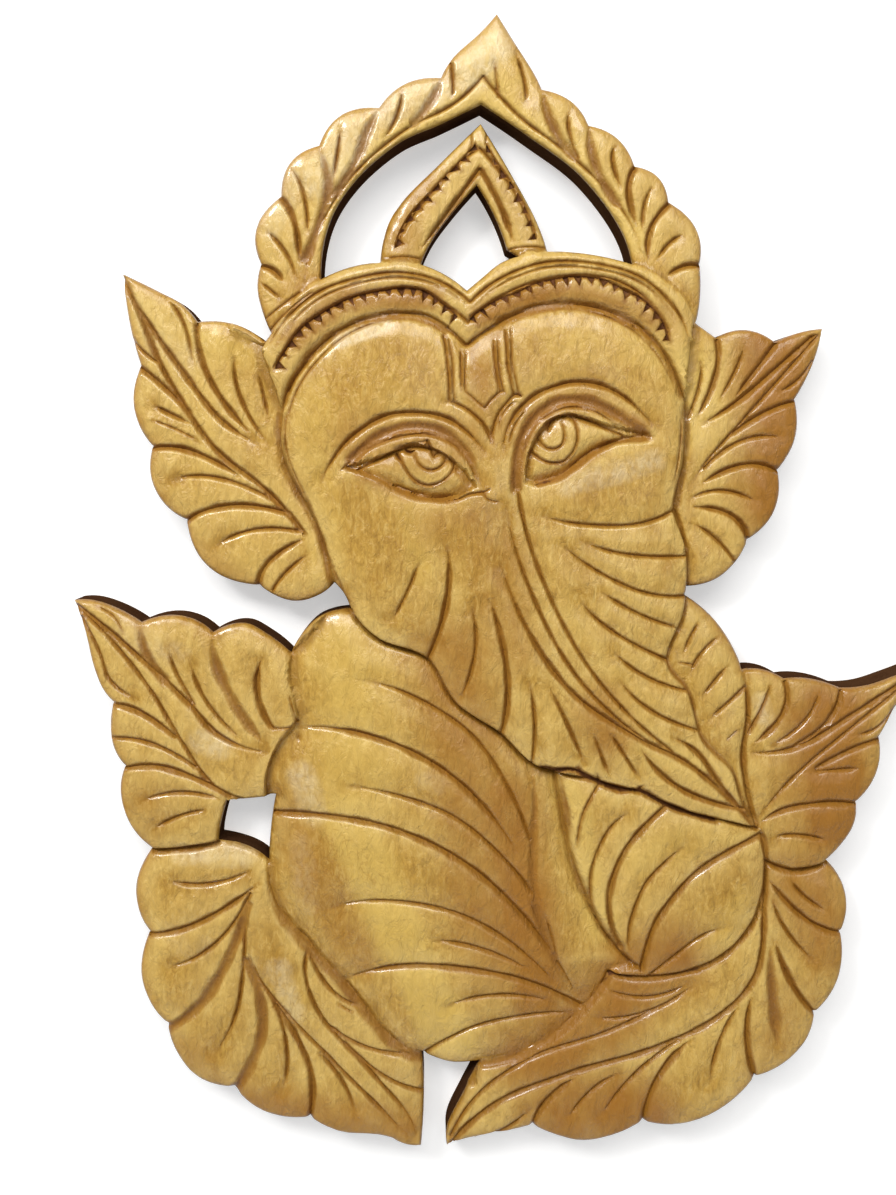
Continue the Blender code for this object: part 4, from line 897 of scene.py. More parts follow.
# The sawn sides are left rough and painted a brown that is nearly black
sawn, tree, shader, place, grain = wood_material(
    "sawn_edge", (0.085, 0.040, 0.018), (0.040, 0.016, 0.007), (0.014, 0.005, 0.002), 0.5)
tree.links.new(grain.outputs["Colour"], shader.inputs["Base Color"])
saw_marks = stretched_noise(tree, place, 0.9, 700.0, 2.0)
bump = put(tree, "ShaderNodeBump", {"Height": saw_marks, "Strength": 0.4, "Distance": 0.0004})
tree.links.new(bump.outputs[0], shader.inputs["Normal"])
shader.inputs["Roughness"].default_value = 0.8
shader.inputs["Specular IOR Level"].default_value = 0.0

# The back is bare planed wood that has gone dull
bare, tree, shader, place, grain = wood_material(
    "bare_back", (0.50, 0.33, 0.17), (0.36, 0.22, 0.10), (0.15, 0.08, 0.03), 0.7)
tree.links.new(grain.outputs["Colour"], shader.inputs["Base Color"])
bump = put(tree, "ShaderNodeBump", {"Height": grain.outputs["Height"], "Strength": 0.5, "Distance": 0.0003})
tree.links.new(bump.outputs[0], shader.inputs["Normal"])
shader.inputs["Roughness"].default_value = 0.75

# The rows of notches
# Small three-cornered chips are knocked out along the band's recess and the flame's strip with the
# corner of a chisel, one after another at an even pitch.
BAND_RECESSES = (
    ((277, 366), (284, 354), (301, 330), (321, 315), (351, 299), (381, 292), (400, 289), (424, 292),
     (439, 302), (456, 316)),
    ((471, 318), (488, 306), (501, 299), (516, 294), (536, 284), (551, 281), (567, 278), (585, 278),
     (600, 280), (614, 286), (627, 293), (641, 300), (652, 310), (662, 324), (667, 338)),
)
FLAME_RECESSES = (
    ((396, 243), (402, 228), (412, 212), (423, 200), (434, 188), (444, 177), (455, 166), (465, 156),
     (472, 147)),
    ((489, 148), (497, 162), (507, 176), (517, 190), (525, 205), (531, 220), (536, 236)),
)
BAND_NOTCH = {"Pitch": 0.0044, "Width": 0.0028, "Length": 0.0034, "Depth": 0.0018}
FLAME_NOTCH = {"Pitch": 0.0046, "Width": 0.0040, "Length": 0.0028, "Depth": 0.0016}
BAND_RECESS_HALF = 2.7
FLAME_RECESS_HALF = 1.5

GEOMETRY = "NodeSocketGeometry"
OBJECT = "NodeSocketObject"
notch_row, taken, given = new_tree(
    "notch_row", "GeometryNodeTree",
    (("Geometry", GEOMETRY, None), ("Path", OBJECT, None), ("Chip", OBJECT, None), ("Pitch", NUMBER, 0.005),
     ("Width", NUMBER, 0.0035), ("Length", NUMBER, 0.004), ("Depth", NUMBER, 0.002),
     ("Material", "NodeSocketMaterial", None)),
    (("Geometry", GEOMETRY),))
path = put(notch_row, "GeometryNodeObjectInfo", {"Object": taken["Path"]}).outputs["Geometry"]
chip = put(notch_row, "GeometryNodeObjectInfo", {"Object": taken["Chip"]}).outputs["Geometry"]
spaced = put(notch_row, "GeometryNodeResampleCurve", {"Curve": path, "Length": taken["Pitch"]}, mode="LENGTH")
turn = put(notch_row, "FunctionNodeAlignRotationToVector",
           {"Vector": put(notch_row, "GeometryNodeInputTangent").outputs[0]}, axis="X", pivot_axis="Z")
size = put(notch_row, "ShaderNodeCombineXYZ",
           {"X": taken["Width"], "Y": taken["Length"], "Z": taken["Depth"]})
hand = put(notch_row, "FunctionNodeRandomValue", {0: (0.60, 0.60, 0.85), 1: (1.30, 1.30, 1.15), "Seed": 4},
           data_type="FLOAT_VECTOR").outputs[0]
cut_size = put(notch_row, "ShaderNodeVectorMath", {0: size.outputs[0], 1: hand}, operation="MULTIPLY")
row = put(notch_row, "GeometryNodeInstanceOnPoints",
          {"Points": spaced.outputs[0], "Instance": chip, "Rotation": turn.outputs[0],
           "Scale": cut_size.outputs[0]})
real = put(notch_row, "GeometryNodeRealizeInstances", {"Geometry": row.outputs[0]})
coated = put(notch_row, "GeometryNodeSetMaterial",
             {"Geometry": real.outputs[0], "Material": taken["Material"]})
notch_row.links.new(coated.outputs[0], given["Geometry"])


def mesh_object(name, points, faces=(), edges=()):
    """A mesh object in the scene."""
    mesh = bpy.data.meshes.new(name)
    mesh.from_pydata([tuple(point) for point in points], edges, faces)
    made = bpy.data.objects.new(name, mesh)
    bpy.context.scene.collection.objects.link(made)
    return made


def shaped_by(carrier, tree, values):
    """The plain mesh that a geometry tree makes of an object, with the tree's named inputs set."""
    modifier = carrier.modifiers.new(tree.name, "NODES")
    modifier.node_group = tree
    for item in tree.interface.items_tree:
        if item.in_out == "INPUT" and item.name in values:
            modifier[item.identifier] = values[item.name]
    depsgraph = bpy.context.evaluated_depsgraph_get()
    mesh = bpy.data.meshes.new_from_object(carrier.evaluated_get(depsgraph))
    carrier.modifiers.remove(modifier)
    return mesh


# One chip of unit size: a straight wall on one side, a slanted one on the other, deepest at the recess
chip_shape = mesh_object(
    "chip", ((-0.5, 0.0, 0.0), (0.5, 0.0, 0.0), (0.2, -1.0, 0.0), (-0.34, -0.05, -1.0), (0.34, -0.05, -1.0),
             (0.18, -0.62, -0.9)),
    faces=((0, 3, 4, 1), (0, 2, 5, 3), (1, 4, 5, 2), (3, 5, 4)))


def notch_blades(name, paths, half_width, sizes):
    """The chips along the paths, as an object whose underside is the shape that is cut out."""
    lines = [smooth_through(points, STROKE_STEP) for points in paths]
    strokes = [(BOLD, line, np.full(len(line), half_width)) for line in lines]
    curves = stroke_curves(name + "_path", strokes)
    carrier = mesh_object(name, ())
    values = dict(sizes, Path=curves, Chip=chip_shape, Material=varnished)
    carrier.data = shaped_by(carrier, notch_row, values)
    bpy.data.objects.remove(curves, do_unlink=True)
    return carrier, strokes


band_chips, band_recess = notch_blades("band_chips", BAND_RECESSES, BAND_RECESS_HALF, BAND_NOTCH)
flame_chips, flame_recess = notch_blades("flame_chips", FLAME_RECESSES, FLAME_RECESS_HALF, FLAME_NOTCH)

seams = [stroke for stroke in STROKES if stroke[0] in (SEAM, CLEFT)]
recesses = stroke_curves("recesses", band_recess + flame_recess + seams)

# The carved face
# The front of the plank as the knife meets it: every stroke's floor is an edge of the mesh, so the cuts
# are crisp, and the swept shapes of the gouges are sunk into the levels of the relief.
FINE_DEPTH = 1.05
V_DEPTH = 1.0
ROUND_DEPTH = 0.42
RECESS_DEPTH = 1.55
LOBE_DIP = 0.0012
LOBE_REACH = 0.0070
RIM_DIP = 0.0018
RIM_REACH = 0.0085
WAVER = 0.0003
ARRIS = 0.0016
BLUR = 4
# How strongly each kind of cut is darkened for its depth: stain, and painted shade at the deepest floors
FINE_STAIN_AND_SHADE = 1080.0
V_STAIN_AND_SHADE = 560.0
ROUND_STAIN_AND_SHADE = 520.0
RECESS_STAIN_AND_SHADE = 960.0
CHIP_STAIN_AND_SHADE = 920.0
HOLLOW_FULL = 0.00035
FIELD_SPACING = 4.3
POINT_GAP = 1.25
FIELD_GAP = 2.7
BELOW = 0.05
RIM_ROWS = (-4.2, -2.4, -1.1, 1.1, 2.4, 4.2)
RIM_ROW_GAP = 0.9
RIM_ROW_MARGIN = 0.8
ROW_MARGIN = 1.0
FIELD_MARGIN = 2.0
STROKE_MARGIN = 1.2
LIP_ROW = 2.0
CHIP_GAP = 0.6
SHORTEST_SIDE = 0.5

ray_depth, taken, given = new_tree("ray_depth", "GeometryNodeTree", (("Blade", GEOMETRY, None),),
                                   (("Depth", NUMBER),))
spot = put(ray_depth, "ShaderNodeSeparateXYZ", {0: put(ray_depth, "GeometryNodeInputPosition").outputs[0]})
source = put(ray_depth, "ShaderNodeCombineXYZ", {"X": spot.outputs[0], "Y": spot.outputs[1], "Z": -BELOW})
ray = put(ray_depth, "GeometryNodeRaycast",
          {"Target Geometry": taken["Blade"], "Source Position": source.outputs[0],
           "Ray Direction": (0.0, 0.0, 1.0), "Ray Length": BELOW})
sunk = sums(ray_depth, "SUBTRACT", BELOW, ray.outputs["Hit Distance"])
ray_depth.links.new(sums(ray_depth, "MULTIPLY", sunk, ray.outputs["Is Hit"]), given["Depth"])

swept, taken, given = new_tree(
    "swept_blade", "GeometryNodeTree",
    (("Strokes", OBJECT, None), ("Depth", NUMBER, 1.0), ("Roundness", NUMBER, 1.0),
     ("Softness", NUMBER, 1.3)),
    (("Blade", GEOMETRY),))
lines = put(swept, "GeometryNodeObjectInfo", {"Object": taken["Strokes"]}).outputs["Geometry"]
level = put(swept, "GeometryNodeSetCurveNormal", {"Curve": lines}, mode="Z_UP")
stock = put(swept, "GeometryNodeCurvePrimitiveLine", {"Start": (-1.0, 0.0, 0.0), "End": (1.0, 0.0, 0.0)})
bent = put(swept, "GeometryNodeResampleCurve", {"Curve": stock.outputs[0], "Count": 13})
stock_place = put(swept, "GeometryNodeInputPosition").outputs[0]
across = put(swept, "ShaderNodeSeparateXYZ", {0: stock_place}).outputs[0]
fall = sums(swept, "SUBTRACT", 1.0, sums(swept, "POWER", sums(swept, "ABSOLUTE", across), taken["Roundness"]))
fall = sums(swept, "POWER", sums(swept, "MAXIMUM", fall, 0.0), taken["Softness"])
profile_place = put(swept, "ShaderNodeCombineXYZ",
                    {"X": across, "Y": sums(swept, "MULTIPLY", fall, taken["Depth"]), "Z": 0.0})
profile = put(swept, "GeometryNodeSetPosition",
              {"Geometry": bent.outputs[0], "Position": profile_place.outputs[0]})
blade = put(swept, "GeometryNodeCurveToMesh",
            {"Curve": level.outputs[0], "Profile Curve": profile.outputs[0],
             "Scale": put(swept, "GeometryNodeInputRadius").outputs[0]})
swept.links.new(blade.outputs[0], given["Blade"])

carving, taken, given = new_tree(
    "carving", "GeometryNodeTree",
    (("Geometry", GEOMETRY, None), ("Fine strokes", OBJECT, None), ("V strokes", OBJECT, None),
     ("Gouge strokes", OBJECT, None), ("Recesses", OBJECT, None), ("Band chips", OBJECT, None),
     ("Flame chips", OBJECT, None), ("Rim", OBJECT, None), ("Fine depth", NUMBER, 1.0),
     ("V depth", NUMBER, 1.0), ("Round depth", NUMBER, 0.5), ("Recess depth", NUMBER, 1.5),
     ("Lobe dip", NUMBER, 0.001), ("Lobe reach", NUMBER, 0.006), ("Rim dip", NUMBER, 0.002),
     ("Rim reach", NUMBER, 0.008), ("Waver", NUMBER, 0.0002), ("Blur", "NodeSocketInt", 4),
     ("Material", "NodeSocketMaterial", None)),
    (("Geometry", GEOMETRY),))


def object_geometry(label):
    """The geometry of an object that is handed to the tree."""
    return put(carving, "GeometryNodeObjectInfo", {"Object": taken[label]}).outputs["Geometry"]


def blade_depth(label, depth, roundness):
    """How deep a gouge swept along the strokes sinks into each place."""
    swept_shape = put(carving, "GeometryNodeGroup", {}, node_tree=swept)
    carving.links.new(taken[label], swept_shape.inputs["Strokes"])
    swept_shape.inputs["Roundness"].default_value = roundness
    carving.links.new(taken[depth], swept_shape.inputs["Depth"])
    cast = put(carving, "GeometryNodeGroup", {}, node_tree=ray_depth)
    carving.links.new(swept_shape.outputs[0], cast.inputs["Blade"])
    return cast.outputs[0]


def chip_depth(label):
    """How deep the chips sink into each place."""
    cast = put(carving, "GeometryNodeGroup", {}, node_tree=ray_depth)
    carving.links.new(object_geometry(label), cast.inputs["Blade"])
    return cast.outputs[0]


def nearness(geometry, reach):
    """One at the edges of a geometry, falling to nothing at the reach."""
    spot = put(carving, "ShaderNodeSeparateXYZ", {0: put(carving, "GeometryNodeInputPosition").outputs[0]})
    flat = put(carving, "ShaderNodeCombineXYZ", {"X": spot.outputs[0], "Y": spot.outputs[1], "Z": 0.0})
    gap = put(carving, "GeometryNodeProximity", {"Geometry": geometry, "Sample Position": flat.outputs[0]},
              target_element="EDGES")
    share = sums(carving, "SUBTRACT", 1.0, sums(carving, "DIVIDE", gap.outputs["Distance"], reach))
    return sums(carving, "POWER", sums(carving, "MAXIMUM", share, 0.0), 2.0)


blades = ((blade_depth("Fine strokes", "Fine depth", 1.0), FINE_STAIN_AND_SHADE),
          (blade_depth("V strokes", "V depth", 1.0), V_STAIN_AND_SHADE),
          (blade_depth("Gouge strokes", "Round depth", 2.0), ROUND_STAIN_AND_SHADE),
          (blade_depth("Recesses", "Recess depth", 1.4), RECESS_STAIN_AND_SHADE),
          (chip_depth("Band chips"), CHIP_STAIN_AND_SHADE), (chip_depth("Flame chips"), CHIP_STAIN_AND_SHADE))
cut, groove = blades[0][0], sums(carving, "MULTIPLY", *blades[0])
for depth, darkness in blades[1:]:
    cut = sums(carving, "MAXIMUM", cut, depth)
    groove = sums(carving, "MAXIMUM", groove, sums(carving, "MULTIPLY", depth, darkness))
stroke_edges = put(carving, "GeometryNodeJoinGeometry")
for label in ("V strokes", "Gouge strokes"):
    edges = put(carving, "GeometryNodeCurveToMesh", {"Curve": object_geometry(label)})
    carving.links.new(edges.outputs[0], stroke_edges.inputs[0])
dip = sums(carving, "MULTIPLY", nearness(stroke_edges.outputs[0], taken["Lobe reach"]), taken["Lobe dip"])
roll = sums(carving, "MULTIPLY", nearness(object_geometry("Rim"), taken["Rim reach"]), taken["Rim dip"])
soft_dip = put(carving, "GeometryNodeBlurAttribute", {"Iterations": taken["Blur"]}, data_type="FLOAT")
carving.links.new(sums(carving, "MAXIMUM", dip, roll), soft_dip.inputs["Value"])
swell = put(carving, "ShaderNodeTexNoise", {"Scale": 75.0, "Detail": 2.0}).outputs[0]
waver = sums(carving, "MULTIPLY", sums(carving, "SUBTRACT", swell, 0.3), taken["Waver"])
total = sums(carving, "ADD", cut, sums(carving, "ADD", soft_dip.outputs["Value"], waver))
drop = put(carving, "ShaderNodeCombineXYZ", {"X": 0.0, "Y": 0.0, "Z": sums(carving, "MULTIPLY", total, -1.0)})
edged = put(carving, "GeometryNodeBlurAttribute", {"Iterations": 1}, data_type="FLOAT")
carving.links.new(groove, edged.inputs["Value"])
noted = put(carving, "GeometryNodeStoreNamedAttribute",
            {"Geometry": taken["Geometry"], "Name": "groove", "Value": edged.outputs["Value"]},
            data_type="FLOAT", domain="POINT")
sunken = put(carving, "GeometryNodeSetPosition", {"Geometry": noted.outputs[0], "Offset": drop.outputs[0]})
lowered = put(carving, "GeometryNodeInputPosition").outputs[0]
height = put(carving, "ShaderNodeSeparateXYZ", {0: lowered}).outputs[2]
evened = put(carving, "GeometryNodeBlurAttribute", {"Iterations": 7}, data_type="FLOAT")
carving.links.new(height, evened.inputs["Value"])
hollowness = sums(carving, "DIVIDE", sums(carving, "SUBTRACT", evened.outputs["Value"], height), HOLLOW_FULL)
shaded = put(carving, "GeometryNodeStoreNamedAttribute",
             {"Geometry": sunken.outputs[0], "Name": "hollow", "Value": hollowness}, data_type="FLOAT",
             domain="POINT")
real = put(carving, "GeometryNodeRealizeInstances", {"Geometry": shaded.outputs[0]})
coated = put(carving, "GeometryNodeSetMaterial", {"Geometry": real.outputs[0], "Material": taken["Material"]})
carving.links.new(coated.outputs[0], given["Geometry"])


# Where the stain lies heavy and where shade is painted along the eyes' lids, where the wood shows pale gold,
# and where the varnish has
# bloomed and where highlights are painted: each is a soft band from one place to another, with its half width
# and its strength
BROWN_BANDS = (
    ((780, 345), (784, 505), 46, 1.1), ((830, 712), (836, 815), 54, 1.1),
    ((450, 660), (500, 960), 46, 0.75), ((504, 800), (540, 1000), 36, 1.0),
    ((540, 1062), (665, 960), 46, 1.0), ((560, 1112), (640, 1120), 46, 1.0),
    ((800, 875), (832, 940), 42, 0.8), ((600, 705), (612, 730), 28, 0.8),
    ((484, 330), (484, 410), 24, 0.5), ((365, 446), (455, 440), 32, 0.6),
    ((500, 424), (600, 392), 24, 0.5), ((296, 340), (345, 300), 14, 0.8),
    ((345, 300), (430, 300), 14, 0.9), ((480, 318), (560, 290), 14, 0.9),
    ((560, 290), (650, 320), 14, 0.7), ((505, 560), (505, 650), 34, 0.45),
    ((425, 165), (398, 240), 22, 0.6), ((500, 175), (530, 235), 16, 0.4),
    ((230, 1108), (400, 1132), 28, 0.8), ((800, 1000), (776, 1060), 38, 0.4),
    ((300, 300), (318, 280), 26, 0.3), ((285, 815), (352, 955), 26, 0.45),
    ((655, 320), (690, 330), 22, 0.4), ((440, 520), (470, 500), 34, 0.4),
    # From here to the right eye's lower lid, the narrow bands along the lid creases and under the lids are
    # painted shade
    ((354, 459), (376, 439), 8, 1.1), ((376, 439), (404, 428), 8, 1.2), ((404, 428), (440, 431), 8, 1.1),
    ((440, 431), (470, 458), 8, 0.8), ((516, 480), (519, 444), 8, 0.9), ((519, 444), (532, 419), 9, 1.1),
    ((532, 419), (556, 402), 9, 1.2), ((556, 402), (590, 402), 9, 1.2), ((590, 402), (640, 427), 9, 0.9),
    ((360, 474), (405, 495), 7, 0.7), ((405, 495), (450, 498), 7, 0.8), ((540, 480), (562, 473), 7, 1.0),
    ((562, 473), (604, 445), 7, 0.9), ((800, 350), (815, 340), 16, 0.6),
    ((150, 1040), (210, 1085), 28, 0.5), ((185, 550), (250, 600), 20, 0.5),
    ((130, 760), (150, 830), 22, 0.3),
)
GOLD_BANDS = (
    ((345, 812), (452, 1048), 29, 1.0), ((350, 650), (352, 790), 50, 0.65),
    ((312, 400), (328, 590), 26, 0.5), ((692, 335), (704, 430), 28, 0.8),
    ((566, 790), (604, 930), 20, 0.8), ((640, 856), (725, 830), 26, 0.55),
    ((150, 315), (245, 345), 30, 0.6), ((418, 515), (424, 565), 24, 0.55),
    ((640, 742), (720, 775), 20, 0.45), ((326, 222), (362, 160), 17, 0.9),
    ((362, 160), (478, 100), 17, 0.9), ((500, 105), (575, 160), 17, 0.9),
    ((575, 160), (632, 238), 17, 0.9), ((360, 360), (440, 392), 36, 0.3),
    ((560, 345), (650, 352), 24, 0.45), ((190, 430), (250, 570), 34, 0.3),
    ((565, 600), (640, 735), 20, 0.4), ((480, 40), (490, 90), 30, 0.8), ((690, 975), (745, 900), 20, 0.4),
    ((640, 540), (650, 640), 34, 0.3),
)
# Partly chalky bloom; the bands on the crown's upper left lobes, across the band's top, along the forehead's
# upper left edge and on the tips of the hand and leg leaves are painted highlights
BLOOM_AND_GLARE_BANDS = (
    ((302, 775), (312, 812), 17, 0.75), ((300, 845), (306, 905), 17, 0.5),
    ((280, 970), (292, 1012), 15, 0.75), ((200, 740), (222, 745), 15, 0.8),
    ((424, 778), (440, 784), 12, 0.6), ((566, 484), (652, 462), 15, 0.65),
    ((455, 395), (466, 390), 16, 0.5), ((318, 180), (360, 135), 20, 1.2),
    ((385, 112), (435, 92), 18, 1.3), ((468, 78), (498, 42), 20, 1.1), ((140, 305), (180, 360), 24, 0.5),
    ((290, 330), (400, 268), 12, 0.6), ((180, 856), (245, 858), 13, 0.9),
    ((130, 630), (175, 655), 20, 0.5), ((170, 930), (195, 950), 22, 0.4),
    ((755, 345), (790, 350), 14, 0.4), ((762, 700), (766, 722), 10, 0.9),
    ((268, 225), (292, 175), 18, 0.9), ((340, 342), (386, 326), 8, 1.4),
)

BAND_EDGE = 3.0
# Painted shade along the outer rim: its strength and its reach
RIM_SHADE_SHARE = 0.55
RIM_SHADE_REACH = 8.5


def band_cover(places, table):
    """How strongly the table's soft bands cover each place."""
    cover = np.zeros(len(places))
    for start, end, half_width, strength in table:
        away = segment_distances(places, np.array([start], dtype=float), np.array([end], dtype=float))[:, 0]
        cover = np.maximum(cover, strength * np.exp(-(away / half_width) ** BAND_EDGE))
    return cover


class Net:
    """The points and lines that the triangulated face has to pass through, in squares."""

    def __init__(self):
        self.points = []
        self.lines = []
        self.cells = {}

    def near(self, place, gap):
        """The closest point already in the net within the gap, or None."""
        column, row = int(place[0] // POINT_GAP), int(place[1] // POINT_GAP)
        ring = int(gap // POINT_GAP) + 1
        best = None
        for i in range(column - ring, column + ring + 1):
            for j in range(row - ring, row + ring + 1):
                for index in self.cells.get((i, j), ()):
                    away = math.hypot(self.points[index][0] - place[0], self.points[index][1] - place[1])
                    if away < gap:
                        gap, best = away, index
        return best

    def add(self, place):
        """Adds a point and returns its index."""
        self.points.append((float(place[0]), float(place[1])))
        cell = (int(place[0] // POINT_GAP), int(place[1] // POINT_GAP))
        self.cells.setdefault(cell, []).append(len(self.points) - 1)
        return len(self.points) - 1

    def add_line(self, places, allowed):
        """Adds a line through the allowed places, joining points that are already there."""
        last = None
        for place, wanted in zip(places, allowed):
            index = self.near(place, POINT_GAP)
            if index is None and wanted:
                index = self.add(place)
            if index is not None and last is not None and index != last:
                self.lines.append((last, index))
            last = index

    def add_rows(self, rows, margin, gap):
        """Adds the places of the rows that lie on the wood and keep the gap to what is there."""
        places = np.vstack(rows)
        for place in places[on_wood(places, margin)]:
            if self.near(place, gap) is None:
                self.add(place)


rim_tree = kdtree.KDTree(sum(len(loop) for loop in LOOPS))
for index, place in enumerate(np.vstack(LOOPS)):
    rim_tree.insert((*place, 0.0), index)
rim_tree.balance()


def rim_gaps(places):
    """The distance of every place to the nearest rim."""
    return np.array([rim_tree.find((*place, 0.0))[2] for place in places])


def on_wood(places, margin=0.0):
    """Whether each place lies on the board, further than the margin from its edges."""
    result = inside(places, RIM)
    for loop in OPENINGS:
        result &= ~inside(places, loop)
    return result & (rim_gaps(places) > margin)


def side_rows(line, offsets):
    """Rows beside a line, one for each offset, which may change along it."""
    along = np.gradient(line, axis=0)
    across = np.stack((-along[:, 1], along[:, 0]), axis=1) / np.hypot(*along.T)[:, None]
    return [line + across * np.asarray(offset)[..., None] for offset in offsets]


def face_net():
    """The net of the face: rims, stroke floors and lips, part edges, chips, and an even field."""
    net = Net()
    for loop in LOOPS:
        first = len(net.points)
        for place in loop:
            net.add(place)
        net.lines += [(first + i, first + (i + 1) % len(loop)) for i in range(len(loop))]
    ordered = sorted(STROKES + band_recess + flame_recess, key=lambda stroke: -stroke[0])
    lines = [line for width, line, half in ordered]
    allowed = on_wood(np.vstack(lines), STROKE_MARGIN)
    for line, wanted in zip(lines, np.split(allowed, np.cumsum([len(line) for line in lines])[:-1])):
        net.add_line(line, wanted)
    for chips in (band_chips, flame_chips):
        spots = np.array([(v.co.x / SQUARE + HANGING_COLUMN, HANGING_ROW - v.co.y / SQUARE)
                          for v in chips.data.vertices])
        kept = [net.near(spot, CHIP_GAP) for spot in spots]
        kept = [net.add(spot) if index is None else index for spot, index in zip(spots, kept)]
        net.lines += [(kept[a], kept[b]) for a, b in (edge.vertices for edge in chips.data.edges)
                      if kept[a] != kept[b]]
    rows = []
    for loop in LOOPS:
        rows += side_rows(np.vstack((loop, loop[:1])), RIM_ROWS)
    net.add_rows(rows, RIM_ROW_MARGIN, RIM_ROW_GAP)
    rows = []
    for width, line, half in ordered:
        offsets = [-half - LIP_ROW, -half, half, half + LIP_ROW]
        if width > FINE:
            offsets += [-half / 2, half / 2]
        rows += side_rows(line, offsets)
    net.add_rows(rows, ROW_MARGIN, POINT_GAP)
    rows = []
    for items, depth, reach in RAISED_PARTS:
        loop = part_loop(items)
        sides = zip(loop, np.roll(loop, -1, axis=0))
        dense = np.vstack([smooth_through(side, STROKE_STEP)[:-1] for side in sides
                           if np.hypot(*(side[1] - side[0])) > SHORTEST_SIDE])
        rows += side_rows(dense, (-STEP_REACH / 2, STEP_REACH / 2))
    net.add_rows(rows, ROW_MARGIN, FIELD_GAP)
    low, high = RIM.min(axis=0), RIM.max(axis=0)
    row_height = FIELD_SPACING * math.sqrt(3) / 2
    rows = int((high[1] - low[1]) / row_height) + 1
    columns = int((high[0] - low[0]) / FIELD_SPACING) + 1
    field = np.array([(low[0] + (column + 0.5 * (row % 2)) * FIELD_SPACING, low[1] + row * row_height)
                      for row in range(rows) for column in range(columns)])
    net.add_rows([field], FIELD_MARGIN, FIELD_GAP)
    return net


def face_mesh():
    """The face before the strokes are cut, as an object on the sheet with its heights."""
    net = face_net()
    result = delaunay_2d_cdt([Vector(place) for place in net.points], net.lines, [], 0, 0.01, False)
    corners = np.array([tuple(place) for place in result[0]])
    triangles = np.array([tuple(face) for face in result[2]])
    triangles = triangles[on_wood(corners[triangles].mean(axis=1))]
    used = np.unique(triangles)
    order = np.zeros(len(corners), dtype=int)
    order[used] = np.arange(len(used))
    corners, triangles = corners[used], order[triangles]
    away = rim_gaps(corners) * SQUARE
    short = 1 - np.clip(away / ARRIS, 0, 1)
    rounding = ARRIS * (1 - np.sqrt(1 - short ** 2))
    heights = BOARD_THICKNESS - part_depths(corners) - rounding
    places = on_board(corners, heights)
    first, second, third = (places[triangles[:, k], :2] for k in range(3))
    turned = np.cross(second - first, third - first) < 0
    triangles[turned] = triangles[turned][:, ::-1]
    carved = mesh_object("carved_face", places, faces=triangles.tolist())
    for name, table in (("brown", BROWN_BANDS), ("gold", GOLD_BANDS), ("bloom_and_glare", BLOOM_AND_GLARE_BANDS)):
        cover = band_cover(corners, table)
        # Painted shade: the brown is also laid in a band along the whole outer rim, where the rolled edge
        # turns from the light
        if name == "brown":
            cover = np.maximum(cover, RIM_SHADE_SHARE * np.exp(-(loop_distances(corners, RIM) / RIM_SHADE_REACH) ** 2))
        carved.data.attributes.new(name, "FLOAT", "POINT").data.foreach_set("value", cover)
    return carved


rim_lines = mesh_object(
    "rim_lines", on_board(np.vstack(LOOPS), np.zeros(sum(len(loop) for loop in LOOPS))),
    edges=[(first + i, first + (i + 1) % len(loop))
           for first, loop in zip(np.cumsum([0] + [len(loop) for loop in LOOPS[:-1]]).tolist(), LOOPS)
           for i in range(len(loop))])
face = face_mesh()
face.data = shaped_by(face, carving, {
    "Fine strokes": fine_strokes, "V strokes": v_strokes, "Gouge strokes": gouge_strokes,
    "Recesses": recesses, "Band chips": band_chips, "Flame chips": flame_chips, "Rim": rim_lines,
    "Fine depth": FINE_DEPTH, "V depth": V_DEPTH, "Round depth": ROUND_DEPTH,
    "Recess depth": RECESS_DEPTH, "Lobe dip": LOBE_DIP, "Lobe reach": LOBE_REACH, "Rim dip": RIM_DIP,
    "Rim reach": RIM_REACH, "Waver": WAVER, "Blur": BLUR, "Material": varnished})

# The sides and the back
# The sides are as the saw left them, square to the back.  The back is planed flat and lies on the wall.
SIDE_SHARES = (0.97, 0.6, 0.3)
SHARP_ANGLE = math.radians(58)


def closed_board(carved):
    """The carved face closed with sides and a flat back, turned upright into the frame."""
    shape = bmesh.new()
    shape.from_mesh(carved)
    rim = [edge for edge in shape.edges if len(edge.link_faces) == 1]
    heights = {}
    for edge in rim:
        for corner in edge.verts:
            heights[corner] = corner.co.z
    for share in SIDE_SHARES + (0.0,):
        grown = bmesh.ops.extrude_edge_only(shape, edges=rim)["geom"]
        faces = [item for item in grown if isinstance(item, bmesh.types.BMFace)]
        lower = {}
        for item in faces:
            item.material_index = 1
            for edge in item.edges:
                a, b = edge.verts
                for top, bottom in ((a, b), (b, a)):
                    if top in heights and bottom not in heights:
                        lower[bottom] = heights[top]
        for corner, height in lower.items():
            corner.co.z = height * share
        rim = [item for item in grown if isinstance(item, bmesh.types.BMEdge) and len(item.link_faces) == 1]
        heights = lower
    filled = bmesh.ops.triangle_fill(shape, edges=rim, use_beauty=True, use_dissolve=False)["geom"]
    for item in filled:
        if isinstance(item, bmesh.types.BMFace):
            item.material_index = 2
    bmesh.ops.recalc_face_normals(shape, faces=shape.faces)
    for item in shape.faces:
        item.smooth = True
    shape.transform(Matrix(((1, 0, 0, 0), (0, 0, -1, 0), (0, 1, 0, 0), (0, 0, 0, 1))))
    mesh = bpy.data.meshes.new("carved_plaque")
    shape.to_mesh(mesh)
    shape.free()
    return mesh


